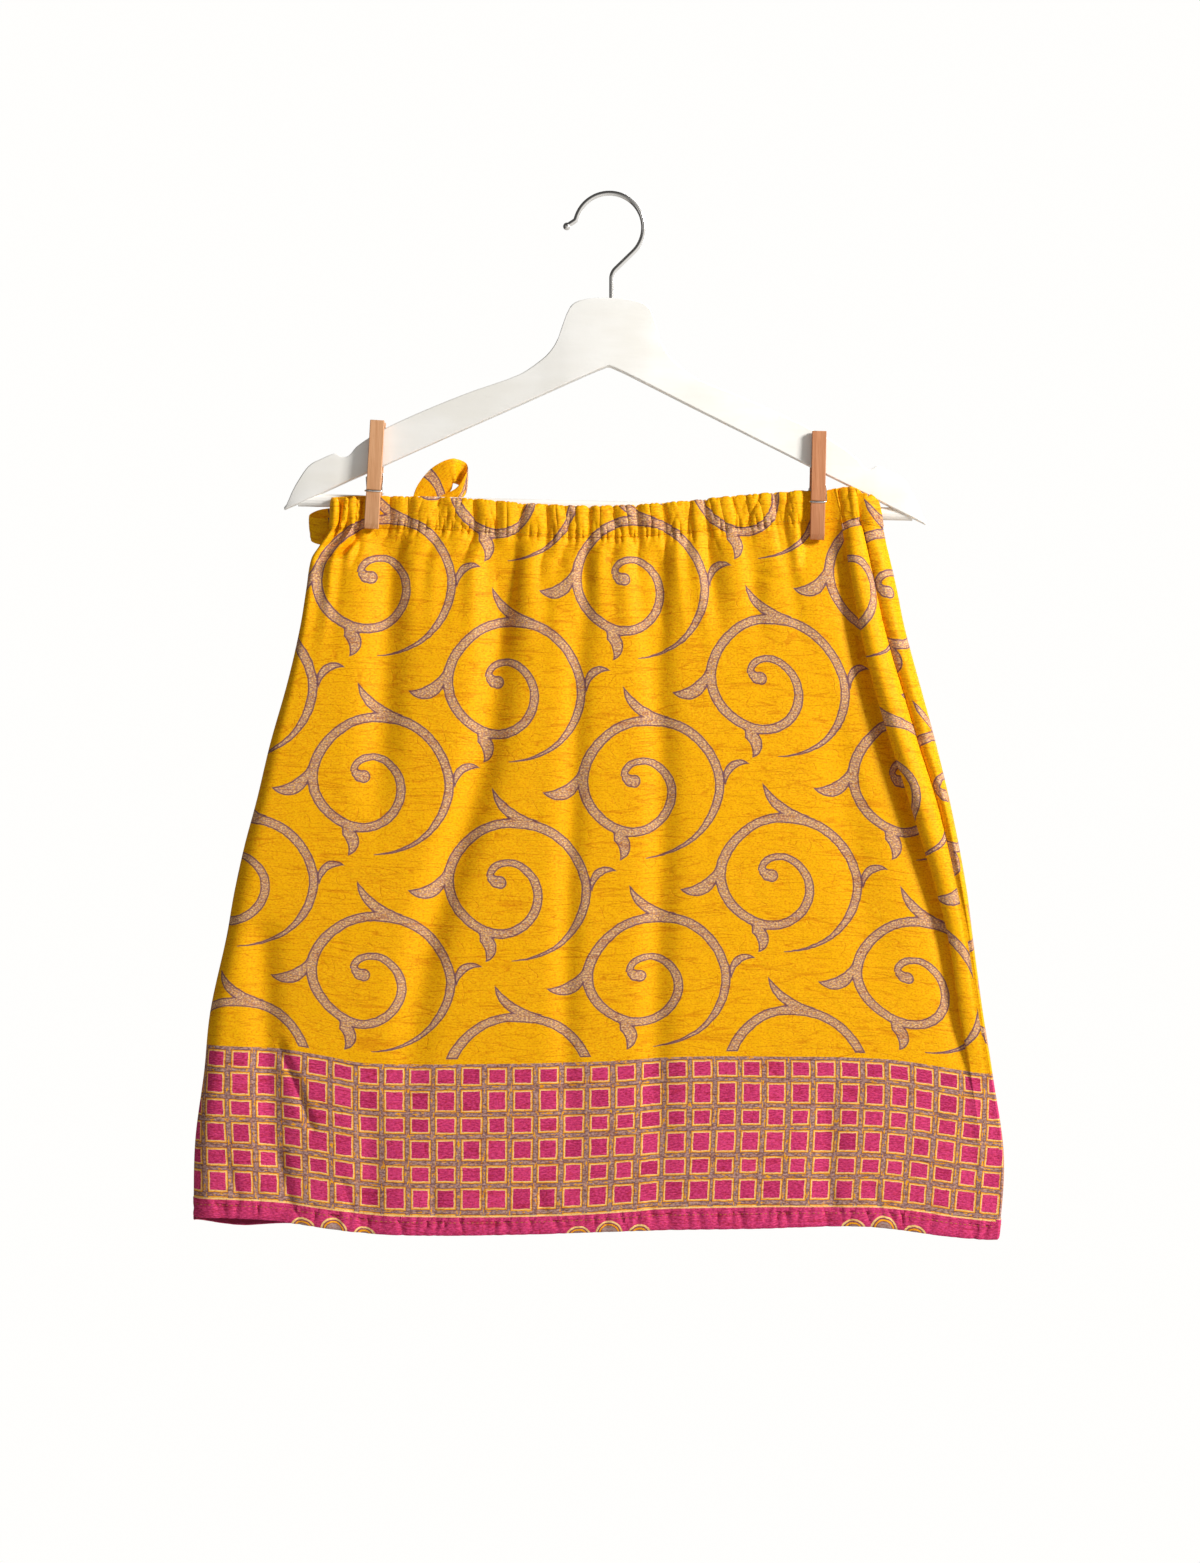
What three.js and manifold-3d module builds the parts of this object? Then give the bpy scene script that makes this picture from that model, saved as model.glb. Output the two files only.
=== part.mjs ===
// A wrap skirt hanging flat from a wooden hanger, held by two clothes pegs.
// Millimetres, +Z up, +X to the viewer's right, the skirt's front faces -Y.
// The origin is the inside top of the hanger's hook, where the hanger rests on a rail.
// "drop" is always the distance below that point.

import * as THREE from "three";
import { mergeVertices } from "three/addons/utils/BufferGeometryUtils.js";
import Module from "manifold-3d";

// ---- Driving dimensions -------------------------------------------------------------

const GAP = 0.3;                    // clearance between neighbouring pieces

// Cloth
const CLOTH = 1.0;                  // wall of the panels
const CASING_WALL = 1.6;            // wall of the waist channel: two layers and a tape
const HEM_WALL = 1.8;               // wall of the turned hem
const STRAP_WALL = 1.4;             // wall of the tie straps
const WAIST_DROP = 204;             // nominal top edge of the waist
const CASING_HEIGHT = 21;           // waist channel, from its fold to its stitching
const HEM_DROP = 690;               // nominal lower edge of the skirt
const HEM_HEIGHT = 13;              // turned hem
const BACK_Y = 4.9;                 // middle of the outer back layer at the waist
const BACK_SETTLE = 1.0;            // how much further back it hangs at the hem
const LAYER_STEP = 2.7;             // from the outer back layer in to the inner one
const PUFF = 1.7;                   // how far the casing swells between gathers
const OVERLAP_RIGHT = 30;           // inner back panel ends this far left of centre, at the waist
const OVERLAP_LEFT = 128;           // outer back panel ends this far left of centre, at the waist
const OVERLAP_STEP = 19;            // the inner back layer starts to step in this far before it
const WAIST_TURN = 3.2;             // how far the cloth's left edge rounds over, at the waist
const HEM_TURN = 13.2;              // and at the hem
const STRIP_BACK = 12;              // the right side strip ends this far behind the right edge
const FRONT_FLAT_END = 26;          // the front's flat ends this far left of the rolled fold
const FULL_ROLL = 14;               // a fold that rises this far overhangs fully

// Ties, knotted at the left of the waist
const KNOT = { x: -132, y: 10, drop: 223, halfWidth: 8.6, halfDepth: 3.9, halfHeight: 10.5 };
const TAIL_DROP = 236;              // where the hanging tails start
const TAIL_WIDTH = 18;
const TAIL_SWAY = 5;                // how far a tail wanders sideways
const TAIL_CLEAR = 0.6;             // from the back panel to a tail

// Hanger
const HANGER_LEAN = 1.335;          // degrees, right end lower
const HANGER_AXIS = 4.5;            // the hanger's middle, right of the hook's seat
const HANGER_SWEEP = 9.6;           // the arms' ends lie this far behind the hub
const SWEEP_REACH = 205;            // measured at this distance from the middle
const SWEEP_POWER = 1.1;
const ARM_BEVEL = 1.8;
const BAR_HALF_LENGTH = 207;
const BAR_DROP = 208.5;             // middle of the bar, in the hanger's own frame
const BAR_Y = 9.45;
const BAR_HALF_HEIGHT = 4.4;
const BAR_HALF_DEPTH = 3.45;
const WIRE_RADIUS = 1.7;            // hook wire
const HOOK_RADIUS = 23;             // middle of the wire round the hook's curve
const HOOK_CENTRE_X = 2.3;
const BALL_RADIUS = 2.7;            // on the hook's tip
const SOCKET_STEM = { x: 4.2, drop: 60 };
const STEM_END = { x: 3.2, drop: 82 };   // inside the hub

// Clothes pegs
const PEG_WIDTH = 10;
const PEG_LENGTH = 73;
const PEG_Y = 7.0;                  // plane between the two legs
const COIL_RADIUS = 4.3;
const COIL_HEIGHT = 34.8;           // coil's middle, above the jaws' tips
const CROSSING_HEIGHT = 25;         // where the spring's wire crosses a leg's outer face
const SPRING_WIRE = 0.9;            // radius of the spring's wire
const HELD_Y = 2.6;                 // middle of the front layer where a peg grips it
const GRIP_HALF = 7;                // the grip is full this far either side of a peg
const GRIP_REACH = 26;              // and gone at this distance

// ---- Tables -------------------------------------------------------------------------

// The skirt's plan at each height. left and right are its outline. seam is the right side
// seam and ridge the left edge of the rolled fold beside it, which stands "rise" proud.
// front is how far the front panel lies from the hook's plane.
const SECTIONS = [
  { drop: 204, left: -184, right: 182, ridge: 153, seam: 168, rise: 1.6, front: -0.4 },
  { drop: 225, left: -186, right: 186, ridge: 157, seam: 171, rise: 3.0, front: -0.8 },
  { drop: 245, left: -199, right: 190, ridge: 161, seam: 175, rise: 7.0, front: -3.2 },
  { drop: 266, left: -205, right: 195, ridge: 165, seam: 180, rise: 10, front: -5.2 },
  { drop: 290, left: -208, right: 200, ridge: 170, seam: 186, rise: 12, front: -7.2 },
  { drop: 327, left: -215, right: 210, ridge: 179, seam: 197, rise: 14, front: -9.6 },
  { drop: 368, left: -225, right: 221, ridge: 191, seam: 209, rise: 15, front: -11.8 },
  { drop: 406, left: -234, right: 230, ridge: 203, seam: 221, rise: 15, front: -13.4 },
  { drop: 436, left: -242, right: 236, ridge: 212, seam: 228, rise: 13, front: -14.6 },
  { drop: 468, left: -249, right: 241, ridge: 221, seam: 233, rise: 9, front: -15.6 },
  { drop: 497, left: -254, right: 245, ridge: 228, seam: 238, rise: 6, front: -16.5 },
  { drop: 548, left: -265, right: 251, ridge: 235, seam: 243, rise: 4, front: -18 },
  { drop: 589, left: -269, right: 259, ridge: 242, seam: 249, rise: 3.4, front: -19 },
  { drop: 640, left: -275, right: 266, ridge: 248, seam: 255, rise: 3, front: -20 },
  { drop: 702, left: -276, right: 261, ridge: 246, seam: 254, rise: 3, front: -21 },
];

// Height of the waist's top edge across the front.
const WAIST_EDGE = [
  { x: -190, drop: 204 }, { x: -172, drop: 202 }, { x: -130, drop: 202.5 },
  { x: -88, drop: 204 }, { x: -54, drop: 207 }, { x: -4, drop: 208.5 },
  { x: 46, drop: 206 }, { x: 80, drop: 202.5 }, { x: 122, drop: 199.5 },
  { x: 131, drop: 202.4 }, { x: 151, drop: 202.4 }, { x: 158, drop: 196.4 },
  { x: 164, drop: 195.6 }, { x: 174, drop: 199.5 }, { x: 190, drop: 203 },
];

// Height of the lower edge across the front, and of the back's lower edge.
const HEM_EDGE = [
  { x: -280, front: 683, back: 688 }, { x: -256, front: 686, back: 690.5 },
  { x: -206, front: 692, back: 697 }, { x: -165, front: 699, back: 699 },
  { x: -88, front: 701, back: 700 }, { x: -4, front: 699, back: 698 },
  { x: 63, front: 698, back: 696 }, { x: 105, front: 695, back: 694 },
  { x: 150, front: 694, back: 694 }, { x: 198, front: 698, back: 697 },
  { x: 231, front: 701.5, back: 699 }, { x: 270, front: 702, back: 700 },
];

// Gathers of the casing: place across the front at the waist.
const GATHERS = [-176, -164, -133, -112, -89, -74, -59, -40, -26, -12, 4, 20, 39, 52, 65, 90, 114];

// Soft folds that hang from the waist or rise from the hem. Each valley's middle runs from
// (fromX, fromDrop) to (toX, toDrop), bowed sideways by "bow" half way.
const FRONT_FOLDS = [
  { fromX: -135, fromDrop: 226, toX: -150, toDrop: 430, bow: 4, width: 13, depth: 4.0 },
  { fromX: -58, fromDrop: 228, toX: -134, toDrop: 640, bow: 20, width: 14, depth: 5.2 },
  { fromX: -7, fromDrop: 228, toX: -4, toDrop: 900, bow: -8, width: 9, depth: 4.4 },
  { fromX: 44, fromDrop: 228, toX: 66, toDrop: 900, bow: -9, width: 12, depth: 5.0 },
  { fromX: 72, fromDrop: 226, toX: 79, toDrop: 285, bow: 0, width: 9, depth: 2.4 },
  { fromX: -228, fromDrop: 480, toX: -217, toDrop: 702, bow: 3, width: 10, depth: 4.0 },
  { fromX: -158, fromDrop: 610, toX: -160, toDrop: 740, bow: 0, width: 10, depth: 2.4 },
  { fromX: 147, fromDrop: 590, toX: 150, toDrop: 740, bow: 0, width: 11, depth: 2.6 },
];

const BACK_FOLDS = [
  { fromX: -96, fromDrop: 232, toX: -122, toDrop: 560, bow: -10, width: 14, depth: -3.4 },
  { fromX: -20, fromDrop: 232, toX: -34, toDrop: 700, bow: 12, width: 13, depth: -4.0 },
  { fromX: 52, fromDrop: 232, toX: 96, toDrop: 640, bow: -9, width: 15, depth: -3.6 },
  { fromX: 118, fromDrop: 232, toX: 168, toDrop: 700, bow: 8, width: 12, depth: -3.0 },
  { fromX: -206, fromDrop: 520, toX: -214, toDrop: 740, bow: 0, width: 13, depth: -3.0 },
];

// One half of the hanger, by distance from its middle, in its own upright frame.
const HANGER_HALF = [
  { x: 0, top: 69.2, bottom: 114.5, depth: 12 },
  { x: 10, top: 69.4, bottom: 118.7, depth: 12 },
  { x: 21, top: 71.5, bottom: 123.8, depth: 12 },
  { x: 27, top: 76, bottom: 126.6, depth: 12 },
  { x: 31, top: 86, bottom: 128.5, depth: 11.8 },
  { x: 34, top: 96, bottom: 129.9, depth: 11.6 },
  { x: 39, top: 105, bottom: 132.3, depth: 11.4 },
  { x: 46, top: 112, bottom: 135.6, depth: 11 },
  { x: 60, top: 121.6, bottom: 142.2, depth: 10.4 },
  { x: 93, top: 134, bottom: 157.6, depth: 9 },
  { x: 126, top: 148, bottom: 173.1, depth: 8.2 },
  { x: 148, top: 158, bottom: 183.5, depth: 8 },
  { x: 163, top: 167.2, bottom: 188.2, depth: 8 },
  { x: 171, top: 174.8, bottom: 192.6, depth: 8 },
  { x: 177, top: 179.2, bottom: 196, depth: 8.2 },
  { x: 183, top: 178.6, bottom: 199.6, depth: 8.6 },
  { x: 193, top: 182, bottom: 207, depth: 9.2 },
  { x: 202, top: 189.6, bottom: 213.5, depth: 9.4 },
  { x: 208.5, top: 200, bottom: 214.6, depth: 9.2 },
  { x: 213, top: 208.5, bottom: 214.2, depth: 7.5 },
];

// A peg leg's side view: height above the jaw's tip, distance of its inner and outer face
// from the plane between the legs.
const PEG_INNER = [
  { up: 0, out: 7.4 }, { up: 2.5, out: 6.2 }, { up: 29.8, out: 6.2 }, { up: 31, out: 3.5 },
  { up: 39, out: 3.5 }, { up: 40, out: 5.5 }, { up: PEG_LENGTH, out: 6.2 },
];
const PEG_OUTER = [
  { up: PEG_LENGTH, out: 10.2 }, { up: 4, out: 12.6 }, { up: 0, out: 10.4 },
];

const PEGS = [
  { name: "peg_left", x: -157.4, drop: 223.8, lean: 3.1 },
  { name: "peg_right", x: 141.7, drop: 231.2, lean: 1.2 },
];

// Finishes
const YELLOW = new THREE.MeshStandardMaterial({ color: "#f1b00c", roughness: 0.62, metalness: 0 });
const PINK = new THREE.MeshStandardMaterial({ color: "#bf3d64", roughness: 0.62, metalness: 0 });
const WHITE = new THREE.MeshStandardMaterial({ color: "#f0ece3", roughness: 0.45, metalness: 0 });
const STEEL = new THREE.MeshStandardMaterial({ color: "#c9cbcd", roughness: 0.2, metalness: 1 });
const WOOD = new THREE.MeshStandardMaterial({ color: "#c98f60", roughness: 0.7, metalness: 0 });

// ---- Reading the tables -------------------------------------------------------------

// Smooth value of one column of a table at a place along another column.
function read(rows, along, name, at) {
  const last = rows.length - 1;
  let i = 0;
  while (i < last - 1 && rows[i + 1][along] < at) {
    i += 1;
  }
  const span = rows[i + 1][along] - rows[i][along];
  const t = THREE.MathUtils.clamp((at - rows[i][along]) / span, 0, 1);
  const slope = (k) => {
    const a = rows[Math.max(k - 1, 0)];
    const b = rows[Math.min(k + 1, last)];
    return ((b[name] - a[name]) / (b[along] - a[along])) * span;
  };
  const t2 = t * t;
  const t3 = t2 * t;
  const start = rows[i][name] * (2 * t3 - 3 * t2 + 1) + slope(i) * (t3 - 2 * t2 + t);
  return start + rows[i + 1][name] * (3 * t2 - 2 * t3) + slope(i + 1) * (t3 - t2);
}

function smooth(value, from, to) {
  return THREE.MathUtils.smoothstep(value, from, to);
}

function bell(distance, width) {
  return Math.exp(-((distance / width) ** 2));
}

function spread(from, to, count) {
  return Array.from({ length: count + 1 }, (_, i) => from + ((to - from) * i) / count);
}

// ---- The cloth's form ---------------------------------------------------------------

function sectionAt(drop) {
  const get = (name) => read(SECTIONS, "drop", name, drop);
  const front = get("front");
  const back = BACK_Y + BACK_SETTLE * smooth(drop, 230, 420);
  const rise = get("rise");
  return {
    left: get("left"),
    right: get("right"),
    ridge: get("ridge"),
    seam: get("seam"),
    rise,
    front,
    back,
    middle: (front + back) / 2,
    valley: front + 0.38 * rise,
    seamY: front - 0.2 * rise,
    turn: THREE.MathUtils.lerp(WAIST_TURN, HEM_TURN, smooth(drop, 225, 500)),
    flare: get("left") / SECTIONS[0].left,
  };
}

// How deep the folds of a table are at one place.
function foldDepth(folds, x, drop) {
  let depth = 0;
  for (const fold of folds) {
    const t = (drop - fold.fromDrop) / (fold.toDrop - fold.fromDrop);
    if (t > 0 && t < 1) {
      const middle = fold.fromX + (fold.toX - fold.fromX) * t + fold.bow * 4 * t * (1 - t);
      const strength = smooth(t, 0, 0.18) * (1 - smooth(t, 0.55, 1));
      depth += fold.depth * strength * bell(x - middle, fold.width);
    }
  }
  return depth;
}

// How firmly a peg holds the waist back against the bar, from 0 to 1.
function pegGrip(x, drop) {
  return PEGS.reduce((most, peg) => {
    const middle = peg.x + Math.tan(THREE.MathUtils.degToRad(peg.lean)) * (peg.drop - drop);
    const beside = 1 - smooth(Math.abs(x - middle), GRIP_HALF, GRIP_REACH);
    return Math.max(most, beside * (1 - smooth(drop, peg.drop + 2, peg.drop + 30)));
  }, 0);
}

// The casing swells forward between its gathers, and the swelling fades below it.
function gatherPuff(across, drop) {
  const pinch = GATHERS.reduce((most, x) => Math.max(most, bell(across - x, 5)), 0);
  const stitched = 0.55 * bell(drop - WAIST_DROP - CASING_HEIGHT, 4);
  const fade = smooth(drop, 202, 208) * (1 - stitched) * (1 - smooth(drop, 228, 300));
  return -PUFF * (1 - pinch) * fade;
}

// Front panel: a turn round the left side, the flat of the front, then the rolled fold.
function frontFold(s) {
  const roll = Math.min(1, s.rise / FULL_ROLL);
  const height = (share) => s.valley - s.rise * share;
  const between = (share) => s.ridge + (s.seam - s.ridge) * share;
  return new THREE.CatmullRomCurve3([
    new THREE.Vector3(s.ridge - FRONT_FLAT_END, s.front, 0),
    new THREE.Vector3(s.ridge - 13, s.front + 0.12 * s.rise, 0),
    new THREE.Vector3(s.ridge - 2, s.valley, 0),
    new THREE.Vector3(s.ridge + 2.6 * roll + 0.6, height(0.12), 0),
    new THREE.Vector3(s.ridge + 1.4, height(0.42), 0),
    new THREE.Vector3(s.ridge + 1.5 - 1.5 * roll, height(0.72), 0),
    new THREE.Vector3(between(0.3), height(1), 0),
    new THREE.Vector3(between(0.68), height(0.88), 0),
    new THREE.Vector3(s.seam - 1.8, height(0.6), 0),
    new THREE.Vector3(s.seam, height(0.58), 0),
  ]);
}

function frontPoint(column, drop) {
  const s = sectionAt(drop);
  const flatStart = s.left + s.turn;
  const flatEnd = s.ridge - FRONT_FLAT_END;
  const top = sectionAt(WAIST_DROP);
  let x;
  let y;
  let loose = 1;
  let across;
  if (column.part === "turn") {
    const angle = (column.at * Math.PI) / 2;
    x = flatStart - s.turn * Math.cos(angle);
    y = s.middle - GAP / 2 + (s.front - s.middle + GAP / 2) * Math.sin(angle);
    across = top.left + top.turn * column.at;
    loose = smooth(column.at, 0.2, 1);
  } else if (column.part === "flat") {
    x = flatStart + (flatEnd - flatStart) * column.at;
    y = s.front;
    across = top.left + top.turn + (top.ridge - FRONT_FLAT_END - top.left - top.turn) * column.at;
  } else {
    const end = new THREE.Vector3();
    frontFold(s).getPoint(column.at, end);
    x = end.x - (GAP / 2) * column.at;
    y = end.y;
    across = top.ridge - FRONT_FLAT_END + 40 * column.at;
    loose = 1 - smooth(column.at, 0, 0.3);
  }
  y += loose * (foldDepth(FRONT_FOLDS, x, drop) + gatherPuff(across, drop));
  return place(x, THREE.MathUtils.lerp(y, HELD_Y, pegGrip(x, drop)), drop, "front");
}

// Moves a point from its nominal height to the real one, so that the waist and the hem have
// their own edge lines.
function place(x, y, drop, side) {
  const flare = sectionAt(drop).flare;
  const atWaist = read(WAIST_EDGE, "x", "drop", x / flare) - WAIST_DROP;
  const atHem = read(HEM_EDGE, "x", side, x) - HEM_DROP;
  const lowered = drop + atWaist * (1 - smooth(drop, 226, 320)) + atHem * smooth(drop, 560, 676);
  return new THREE.Vector3(x, y, -lowered);
}

// The outer back layer's middle. At the top right it turns in to pass the hanger's arm.
function backY(x, drop) {
  const s = sectionAt(drop);
  const corner = 2.3 * smooth(x, 148, 166) * (1 - smooth(drop, 212, 244));
  return s.back - corner - foldDepth(BACK_FOLDS, x, drop);
}

// Right side strip of the outer back panel: from the seam round the right edge.
function sideStrip(s, drop) {
  const wide = s.right - s.seam;
  const swell = Math.min(2.2, 0.12 * wide + 0.14 * s.rise);
  const back = backY(s.right - STRIP_BACK, drop);
  const middle = (s.seamY + back) / 2;
  return new THREE.CatmullRomCurve3([
    new THREE.Vector3(s.seam, s.seamY, 0),
    new THREE.Vector3(s.seam + 1.6, s.seamY, 0),
    new THREE.Vector3(s.seam + 0.5 * wide, s.seamY - swell * 0.7, 0),
    new THREE.Vector3(s.right - 0.16 * wide, s.seamY + 0.16 * (back - s.seamY), 0),
    new THREE.Vector3(s.right, middle, 0),
    new THREE.Vector3(s.right - 1.6, back - 0.16 * (back - s.seamY), 0),
    new THREE.Vector3(s.right - 5.5, back, 0),
    new THREE.Vector3(s.right - STRIP_BACK, back, 0),
  ]);
}

function backOverPoint(column, drop) {
  const s = sectionAt(drop);
  if (column.part === "turn") {
    const point = new THREE.Vector3();
    sideStrip(s, drop).getPoint(column.at, point);
    return place(point.x + (GAP / 2) * (1 - column.at), point.y, drop, "back");
  }
  const start = s.right - STRIP_BACK;
  const x = start + (-OVERLAP_LEFT * s.flare - start) * column.at;
  return place(x, backY(x, drop), drop, "back");
}

// The inner back panel starts level with the outer one and steps in where they overlap.
function backUnderPoint(column, drop) {
  const s = sectionAt(drop);
  const flatStart = s.left + s.turn;
  if (column.part === "turn") {
    const angle = (column.at * Math.PI) / 2;
    const back = backY(flatStart, drop);
    const x = flatStart - s.turn * Math.cos(angle);
    const y = s.middle + GAP / 2 + (back - s.middle - GAP / 2) * Math.sin(angle);
    return place(x, y, drop, "back");
  }
  const x = flatStart + (-OVERLAP_RIGHT * s.flare - flatStart) * column.at;
  const beyond = OVERLAP_LEFT + x / s.flare;
  const step = LAYER_STEP * smooth(beyond, -OVERLAP_STEP, -4);
  return place(x, backY(x, drop) - step, drop, "back");
}

// ---- Making solids ------------------------------------------------------------------

function solid(name, positions, triangles, material) {
  const geometry = new THREE.BufferGeometry();
  geometry.setAttribute("position", new THREE.Float32BufferAttribute(positions, 3));
  geometry.setIndex(triangles);
  geometry.computeVertexNormals();
  const mesh = new THREE.Mesh(geometry, material);
  mesh.name = name;
  return mesh;
}

// A wall of even thickness on a grid of points: grid[row][column].
function sheet(name, grid, thickness, material) {
  const rows = grid.length;
  const columns = grid[0].length;
  const within = (value, count) => THREE.MathUtils.clamp(value, 0, count - 1);
  const at = (i, j) => grid[within(i, rows)][within(j, columns)];
  const positions = [];
  for (const side of [-0.5, 0.5]) {
    for (let i = 0; i < rows; i += 1) {
      for (let j = 0; j < columns; j += 1) {
        const along = new THREE.Vector3().subVectors(at(i, j + 1), at(i, j - 1));
        const down = new THREE.Vector3().subVectors(at(i + 1, j), at(i - 1, j));
        const normal = down.cross(along).normalize();
        const point = at(i, j).clone().addScaledVector(normal, side * thickness);
        positions.push(point.x, point.y, point.z);
      }
    }
  }
  const near = (i, j) => i * columns + j;
  const far = (i, j) => rows * columns + i * columns + j;
  const triangles = [];
  const quad = (a, b, c, d) => triangles.push(a, b, c, a, c, d);
  for (let i = 0; i < rows - 1; i += 1) {
    for (let j = 0; j < columns - 1; j += 1) {
      quad(near(i, j), near(i, j + 1), near(i + 1, j + 1), near(i + 1, j));
      quad(far(i, j), far(i + 1, j), far(i + 1, j + 1), far(i, j + 1));
    }
  }
  for (let j = 0; j < columns - 1; j += 1) {
    quad(near(0, j), far(0, j), far(0, j + 1), near(0, j + 1));
    quad(near(rows - 1, j), near(rows - 1, j + 1), far(rows - 1, j + 1), far(rows - 1, j));
  }
  for (let i = 0; i < rows - 1; i += 1) {
    quad(near(i, 0), near(i + 1, 0), far(i + 1, 0), far(i, 0));
    quad(near(i, columns - 1), far(i, columns - 1), far(i + 1, columns - 1), near(i + 1, columns - 1));
  }
  return outward(solid(name, positions, triangles, material));
}

// Turns a closed mesh right side out.
function outward(mesh) {
  const p = mesh.geometry.attributes.position;
  const index = mesh.geometry.index.array;
  const [a, b, c] = [new THREE.Vector3(), new THREE.Vector3(), new THREE.Vector3()];
  let volume = 0;
  for (let i = 0; i < index.length; i += 3) {
    a.fromBufferAttribute(p, index[i]);
    b.fromBufferAttribute(p, index[i + 1]);
    c.fromBufferAttribute(p, index[i + 2]);
    volume += a.dot(b.cross(c));
  }
  if (volume < 0) {
    for (let i = 0; i < index.length; i += 3) {
      [index[i + 1], index[i + 2]] = [index[i + 2], index[i + 1]];
    }
    mesh.geometry.computeVertexNormals();
  }
  return mesh;
}

// A solid through closed rings of equal length, with flat ends.
function loft(name, rings, material) {
  const size = rings[0].length;
  const positions = [];
  const triangles = [];
  for (const ring of rings) {
    for (const point of ring) {
      positions.push(point.x, point.y, point.z);
    }
  }
  const last = (rings.length - 1) * size;
  for (let k = 0; k < rings.length - 1; k += 1) {
    for (let i = 0; i < size; i += 1) {
      const next = (i + 1) % size;
      const a = k * size;
      const b = a + size;
      triangles.push(a + i, a + next, b + next, a + i, b + next, b + i);
    }
  }
  for (let i = 1; i < size - 1; i += 1) {
    triangles.push(0, i + 1, i);
    triangles.push(last, last + i, last + i + 1);
  }
  return outward(solid(name, positions, triangles, material));
}

// ---- Joins and cuts -----------------------------------------------------------------

const wasm = await Module();
wasm.setup();

function toManifold(mesh) {
  mesh.updateMatrixWorld(true);
  const bare = mesh.geometry.clone().applyMatrix4(mesh.matrixWorld);
  for (const attribute of ["normal", "uv"]) {
    bare.deleteAttribute(attribute);
  }
  const merged = mergeVertices(bare, 1e-4);
  return new wasm.Manifold(new wasm.Mesh({
    numProp: 3,
    vertProperties: new Float32Array(merged.attributes.position.array),
    triVerts: new Uint32Array(merged.index.array),
  }));
}

function fromManifold(name, body, material) {
  const mesh = body.getMesh();
  return solid(name, Array.from(mesh.vertProperties), Array.from(mesh.triVerts), material);
}

function joined(name, meshes, material) {
  const whole = meshes.map(toManifold).reduce((sum, next) => sum.add(next));
  return fromManifold(name, whole, material);
}

function cutBy(mesh, tools) {
  const left = tools.map(toManifold).reduce((body, tool) => body.subtract(tool), toManifold(mesh));
  return fromManifold(mesh.name, left, mesh.material);
}

// ---- Cloth pieces -------------------------------------------------------------------

function frontColumns() {
  const top = sectionAt(WAIST_DROP);
  const start = top.left + top.turn;
  const end = top.ridge - FRONT_FLAT_END;
  const stops = [start, ...GATHERS.filter((x) => x > start + 3 && x < end - 3), end];
  const columns = [0, 0.05, 0.35, 0.7].map((at) => ({ part: "turn", at }));
  for (let k = 0; k < stops.length - 1; k += 1) {
    const count = stops[k + 1] - stops[k] > 17 ? 3 : 2;
    for (const x of spread(stops[k], stops[k + 1], count).slice(0, -1)) {
      columns.push({ part: "flat", at: (x - start) / (end - start) });
    }
  }
  const fold = [0, 0.12, 0.2, 0.28, 0.36, 0.44, 0.52, 0.6, 0.68, 0.78, 0.88, 1];
  return columns.concat(fold.map((at) => ({ part: "fold", at })));
}

function backColumns(turns, count) {
  const columns = turns.map((at) => ({ part: "turn", at }));
  return columns.concat(spread(0, 1, count).map((at) => ({ part: "flat", at })));
}

function grid(pointAt, columns, drops) {
  return drops.map((drop) => columns.map((column) => pointAt(column, drop)));
}

const CASING_END = WAIST_DROP + CASING_HEIGHT;
const HEM_START = HEM_DROP - HEM_HEIGHT;
const CASING_ROWS = [WAIST_DROP, 209, 218, CASING_END - GAP / 2];
const PANEL_ROWS = [
  CASING_END + GAP / 2, 233, 244, 258, 276, 300, 332, 368, 404, 438, 470, 504, 548, 596, 640,
  HEM_START - GAP / 2,
];
const HEM_ROWS = [HEM_START + GAP / 2, HEM_DROP];

const LAYERS = [
  { suffix: "front", pointAt: frontPoint, columns: frontColumns() },
  {
    suffix: "back_over",
    pointAt: backOverPoint,
    columns: backColumns([0, 0.14, 0.3, 0.44, 0.56, 0.68, 0.8, 0.9], 18),
  },
  {
    suffix: "back_under",
    pointAt: backUnderPoint,
    columns: backColumns([0, 0.05, 0.35, 0.7], 12),
  },
];

function clothPieces() {
  const pieces = [];
  for (const layer of LAYERS) {
    const make = (drops) => grid(layer.pointAt, layer.columns, drops);
    const panel = layer.suffix.replace(/^(front|back)/, "$1_panel");
    pieces.push(sheet(`casing_${layer.suffix}`, make(CASING_ROWS), CASING_WALL, YELLOW));
    pieces.push(sheet(panel, make(PANEL_ROWS), CLOTH, YELLOW));
    pieces.push(sheet(`hem_${layer.suffix}`, make(HEM_ROWS), HEM_WALL, PINK));
  }
  return pieces;
}

// ---- Tie straps ---------------------------------------------------------------------

// A strap along a path. Each row is a point of its middle line and the vector across it.
function strap(name, rows) {
  const path = new THREE.CatmullRomCurve3(rows.map((row) => new THREE.Vector3(...row.at)));
  const width = new THREE.CatmullRomCurve3(rows.map((row) => new THREE.Vector3(...row.across)));
  const steps = 2 * (rows.length - 1);
  const points = spread(0, 1, steps).map((t) => {
    const middle = path.getPoint(t);
    const half = width.getPoint(t);
    return [-0.5, 0, 0.5].map((share) => middle.clone().addScaledVector(half, share));
  });
  return sheet(name, points, STRAP_WALL, YELLOW);
}

function knot() {
  const rings = spread(-1, 1, 6).map((t) => {
    const swell = Math.sqrt(1 - 0.72 * t * t);
    return spread(0, 1, 12).slice(0, -1).map((turn) => {
      const angle = turn * 2 * Math.PI;
      return new THREE.Vector3(
        KNOT.x + KNOT.halfWidth * swell * Math.cos(angle),
        KNOT.y + KNOT.halfDepth * swell * Math.sin(angle),
        -KNOT.drop + KNOT.halfHeight * t,
      );
    });
  });
  return loft("tie_knot", rings, YELLOW);
}

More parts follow.
